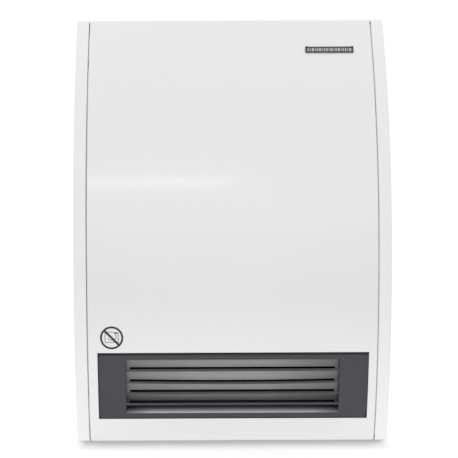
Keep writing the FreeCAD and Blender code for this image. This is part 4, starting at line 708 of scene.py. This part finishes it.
def grille_shadow_strip():
    """Near-black strips in the step between the cover's opening and the grille frame: painted shadow
    of the cover's edge.
    """
    x0, x1 = OPENING_X
    z0, z1 = OPENING_Z
    lap = 0.0008  # how far the shadow strip reaches past the opening
    sink_back, sink_front = 0.00138, 0.00123  # behind the cover's face
    steps = 24
    # Each strip runs between two long edges: start and end of one, start and end of the other
    strips = [
        ((x0, z1 - 0.0030), (x1, z1 - 0.0030), (x0, z1 + lap), (x1, z1 + lap)),
        ((x0 - lap, z0), (x0 - lap, z1), (x0 + 0.0008, z0), (x0 + 0.0011, z1)),
        ((x1 - 0.0020, z0), (x1 - 0.0016, z0 + 0.0070), (x1 + lap, z0), (x1 + lap, z0 + 0.0070)),
        ((x0, z0 - lap), (x1, z0 - lap), (x0, z0 + 0.0003), (x1, z0 + 0.0003)),
    ]
    verts, faces = [], []
    for first_start, first_end, second_start, second_end in strips:
        base = len(verts)
        for k in range(steps + 1):
            t = k / steps
            for start, end in ((first_start, first_end), (second_start, second_end)):
                x = start[0] + (end[0] - start[0]) * t
                z = start[1] + (end[1] - start[1]) * t
                y = face_y(z)
                verts += [Vector((x, y + sink_back, z)), Vector((x, y + sink_front, z))]
        for i in range(base, base + 4 * steps, 4):
            faces += [(i + 1, i + 3, i + 7, i + 5), (i, i + 4, i + 6, i + 2),
                      (i, i + 1, i + 5, i + 4), (i + 2, i + 6, i + 7, i + 3)]
        i = base + 4 * steps
        faces += [(base, base + 2, base + 3, base + 1), (i, i + 1, i + 3, i + 2)]
    shade_material = rubbery("grille_shadow_black", (0.020, 0.019, 0.022), rough=0.9)
    piece("grille_shadow_strip", (verts, faces), shade_material, "front_cover", smooth=False)


def gap_shade_strip(side, sign, grey, sink):
    """Thin grey strip on the front rim of a cheek, in the gap beside the cover: painted shade that
    sets how dark the gap looks.
    """
    outer_x, inner_x = sign * 154.85 * MM, sign * 154.12 * MM
    half_height, thick = 224.0, 1.2 * MM
    steps = 90
    verts, faces = [], []
    for k in range(steps + 1):
        z = (-half_height + 2 * half_height * k / steps) * MM
        y = face_y(z) + sink
        verts += [Vector((outer_x, y, z)), Vector((inner_x, y, z)),
                  Vector((inner_x, y + thick, z)), Vector((outer_x, y + thick, z))]
    for i in range(0, 4 * steps, 4):
        for a, b in ((0, 1), (1, 2), (2, 3), (3, 0)):
            faces.append((i + a, i + b, i + 4 + b, i + 4 + a))
    i = 4 * steps
    faces += [(3, 2, 1, 0), (i, i + 1, i + 2, i + 3)]
    if sign > 0:
        faces = [face[::-1] for face in faces]
    shade_material = rubbery("gap_shade_grey_" + side, (grey, grey, grey * 1.01), rough=0.7)
    piece("gap_shade_strip_" + side, (verts, faces), shade_material, "housing", smooth=False)


# ------------------------------------------------------------------ marks at the controls


def thermostat_scale():
    """Ticks round the knob on the cheek, and a wedge outside them that grows towards warm."""
    face_x = cad_high[0] - 0.00005
    tick_count, tick_start = 13, 21.0
    long_tick, short_tick = (24.0, 0.35), (22.8, 0.22)  # outer radius, half width
    wedge_steps, wedge_inner, wedge_outer, wedge_growth = 40, 26.0, 26.15, 2.0

    def around(angle, radius, across=0.0):
        """(y, z) on the dial, in from mm; 0 is straight up, positive towards the front (-Y)."""
        r, w = radius * MM, across * MM
        return (CONTROL_Y * MM - math.sin(angle) * r + math.cos(angle) * w,
                KNOB_Z * MM + math.cos(angle) * r + math.sin(angle) * w)

    loops = []
    for i in range(tick_count):
        angle = math.radians(-135 + 270 * i / (tick_count - 1))
        tick_end, half = long_tick if i % 2 == 0 else short_tick
        loops.append([around(angle, tick_start, -half), around(angle, tick_end, -half),
                      around(angle, tick_end, half), around(angle, tick_start, half)])
    for i in range(wedge_steps):
        f0, f1 = i / wedge_steps, (i + 1) / wedge_steps
        a0, a1 = math.radians(-130 + 260 * f0), math.radians(-130 + 260 * f1)
        loops.append([around(a0, wedge_inner), around(a1, wedge_inner),
                      around(a1, wedge_outer + wedge_growth * f1),
                      around(a0, wedge_outer + wedge_growth * f0)])
    mesh = raised(loops, lambda y, z, x: Vector((x, y, z)),
                  levels=(face_x - 0.0001, face_x + 0.00012))
    piece("thermostat_scale", mesh, MATS["grey_print"], "housing", smooth=False)


def knob_line():
    """A white inlay in the knob's pointer groove."""
    deep, shallow, half_width = 0.65 * MM, 0.1 * MM, 0.55 * MM
    inner, outer = 6.1 * MM, 12.9 * MM  # above the knob's axis
    face_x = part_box("thermostat_knob")[1].x
    yc, zc = CONTROL_Y * MM, KNOB_Z * MM
    mesh = box_mesh((face_x - deep, face_x - shallow), (yc - half_width, yc + half_width),
                    (zc + inner, zc + outer))
    piece("knob_pointer_inlay", mesh, MATS["white_print"], "thermostat_dial",
          smooth=False)


def rocker_marks():
    """A stroke and a ring inlaid in the upper and lower halves of the rocker; sizes in mm."""
    face_middle, face_rise, face_half = 4.5, 0.7, 12.4  # the face stands higher at its ends
    ring_z, ring_inner, ring_outer, ring_steps = -7.2, 1.35, 2.05, 28

    def on_face(y, z, lift):
        x = face_middle + face_rise * abs(z) / face_half + lift
        return Vector((
            (ROCKER_X + x * math.cos(ROCKER_TILT) + z * math.sin(ROCKER_TILT)) * MM,
            (y + CONTROL_Y) * MM,
            (ROCKER_Z - x * math.sin(ROCKER_TILT) + z * math.cos(ROCKER_TILT)) * MM,
        ))

    loops = [rectangle(-0.4, 0.4, 5.2, 9.0)]
    for k in range(ring_steps):
        a0, a1 = 2 * math.pi * k / ring_steps, 2 * math.pi * (k + 1) / ring_steps
        corners = ((a0, ring_inner), (a0, ring_outer), (a1, ring_outer), (a1, ring_inner))
        loops.append([(r * math.cos(a), ring_z + r * math.sin(a)) for a, r in corners])
    mesh = raised(loops, on_face, levels=(-0.15, 0.05), back=True)
    piece("rocker_marks", mesh, MATS["white_print"], "power_rocker",
          smooth=False)


# ------------------------------------------------------------------ stage, light, camera


def floor_material():
    """Pale paper: lit evenly with a soft contact shade to the camera, a bright bounce to the rest."""
    camera_white = 0.82
    g = Graph("floor_paper")
    to_camera = g.add("LightPath").outputs["Is Camera Ray"]
    paper = g.mix(g.noise(scale=0.7), (0.230, 0.228, 0.226), (0.234, 0.232, 0.230))
    dx, dy = g.axis("X"), g.math("ADD", g.axis("Y"), 0.10)
    squares = g.math("ADD", g.math("MULTIPLY", dx, dx), g.math("MULTIPLY", dy, dy))
    distance = g.math("SQRT", squares)
    near = g.remap(distance, span=(0.25, 0.65), to=(1.0, 0.0))
    bounce = g.mix(near, (0.28, 0.28, 0.28), (0.72, 0.715, 0.70))

    # Glow seen by the camera: contact shade, faded out beside the object
    ao = g.add("AmbientOcclusion", Distance=0.044)
    ao.samples = 8
    seen = g.remap(ao.outputs["AO"], span=(0.45, 0.97), to=(0.28, camera_white))
    beside = g.remap(g.math("ABSOLUTE", dx), span=(0.158, 0.171))
    lift = g.math("MULTIPLY", beside, g.math("SUBTRACT", camera_white, seen))
    seen = g.math("ADD", seen, lift)

    # Glow for all other rays, by distance from the object
    far = g.remap(distance, span=(0.65, 2.1), to=(0.0, 0.46))
    unseen = g.math("ADD", g.math("MULTIPLY", near, 0.21), far)
    close = g.remap(distance, span=(0.24, 0.46), to=(0.075, 0.0))
    unseen = g.math("ADD", unseen, close)
    glow = g.math("ADD", g.math("MULTIPLY", to_camera, seen),
                  g.math("MULTIPLY", g.math("SUBTRACT", 1.0, to_camera), unseen))
    g.set(Base_Color=g.mix(to_camera, bounce, paper), Roughness=0.95, Specular_IOR_Level=0.0,
          Emission_Color=(1.0, 0.995, 0.985, 1.0), Emission_Strength=glow)
    return g.mat


def add_floor():
    me = bpy.data.meshes.new("floor")
    bm = bmesh.new()
    z = cad_low[2] - 0.0003
    corners = ((-12, -14), (12, -14), (12, 12), (-12, 12))
    bm.faces.new([bm.verts.new((x, y, z)) for x, y in corners])
    bm.to_mesh(me)
    bm.free()
    obj = bpy.data.objects.new("floor", me)
    scene.collection.objects.link(obj)
    me.materials.append(floor_material())


def sky_grey(value):
    return (value * 0.992, value * 0.998, value * 1.01, 1)


def add_world():
    """Grey studio sky graded by height, plain white to the camera."""
    world = bpy.data.worlds.new("studio")
    scene.world = world
    world.use_nodes = True
    tree = world.node_tree
    tree.nodes.clear()
    kinds = ("OutputWorld", "Background", "Background", "MixShader", "LightPath", "TexCoord",
             "SeparateXYZ", "ValToRGB", "MapRange")
    output, sky, backdrop, mix, path, coord, split, grade, height = (
        tree.nodes.new("ShaderNode" + kind) for kind in kinds)
    for source, target in (
        (coord.outputs["Generated"], split.inputs[0]),
        (split.outputs["Z"], height.inputs["Value"]),
        (height.outputs["Result"], grade.inputs[0]),
        (grade.outputs["Color"], sky.inputs["Color"]),
        (path.outputs["Is Camera Ray"], mix.inputs[0]),
        (sky.outputs[0], mix.inputs[1]),
        (backdrop.outputs[0], mix.inputs[2]),
        (mix.outputs[0], output.inputs[0]),
    ):
        tree.links.new(source, target)
    height.inputs["From Min"].default_value = -1.0
    height.inputs["From Max"].default_value = 1.0
    sky.inputs["Strength"].default_value = 1.70
    backdrop.inputs["Color"].default_value = (1, 1, 1, 1)
    backdrop.inputs["Strength"].default_value = 1.02

    stops = grade.color_ramp.elements
    stops[0].color = sky_grey(0.9)
    stops.new(0.5)
    for position, value in ((0.60, 0.62), (0.80, 0.82)):
        stops.new(position).color = sky_grey(value)
    # The stop added at 0.5 is moved to the top; the ramp's own white stop stays there too.
    stops[1].color = sky_grey(0.55)
    stops[1].position = 1.0


def area(name, location, target, size, energy):
    light = bpy.data.lights.new(name, "AREA")
    light.shape = "RECTANGLE"
    light.size, light.size_y = size
    light.energy = energy
    obj = bpy.data.objects.new(name, light)
    scene.collection.objects.link(obj)
    obj.location = location
    aim = Vector(target) - Vector(location)
    obj.rotation_euler = aim.to_track_quat("-Z", "Y").to_euler()


def add_lights():
    """A broad soft light above and two low strips in front."""
    area("top_soft", location=(-0.1, 0.05, 1.6), target=(0, -0.12, 0.0), size=(1.8, 0.9),
         energy=0.9)
    for name, x, width, energy in (("window_strip_a", -0.86, 1.25, 0.55),
                                   ("window_strip_b", -0.085, 0.30, 0.15)):
        area(name, location=(x, -1.58, 0.380), target=(x, -0.12, 0.04), size=(width, 0.040),
             energy=energy)


def add_camera():
    """In front of the object, looking along +Y with a slight roll."""
    data = bpy.data.cameras.new("camera")
    obj = bpy.data.objects.new("camera", data)
    scene.collection.objects.link(obj)
    data.sensor_fit = "HORIZONTAL"
    data.sensor_width = 36.0
    data.lens = 72.7648035
    data.shift_x = 0.08689956
    data.clip_start = 0.01
    place = Matrix.Translation((-0.0457, -1.0983, 0.0001))
    roll = Matrix.Rotation(math.radians(0.24), 4, "Y")
    level = Matrix.Rotation(math.radians(90.0), 4, "X")
    obj.matrix_world = place @ roll @ level
    scene.camera = obj


paint_cad()
heating_coils()
wiring()
badge_marks()
symbol_pictogram()
grille_shadow_strip()
# Grey strips in the cheek gaps: painted shade, darker on the left than on the right.
gap_shade_strip("left", sign=-1, grey=0.40, sink=1.5 * MM)
gap_shade_strip("right", sign=1, grey=0.70, sink=1.0 * MM)
thermostat_scale()
knob_line()
rocker_marks()
add_floor()
add_world()
add_lights()
add_camera()
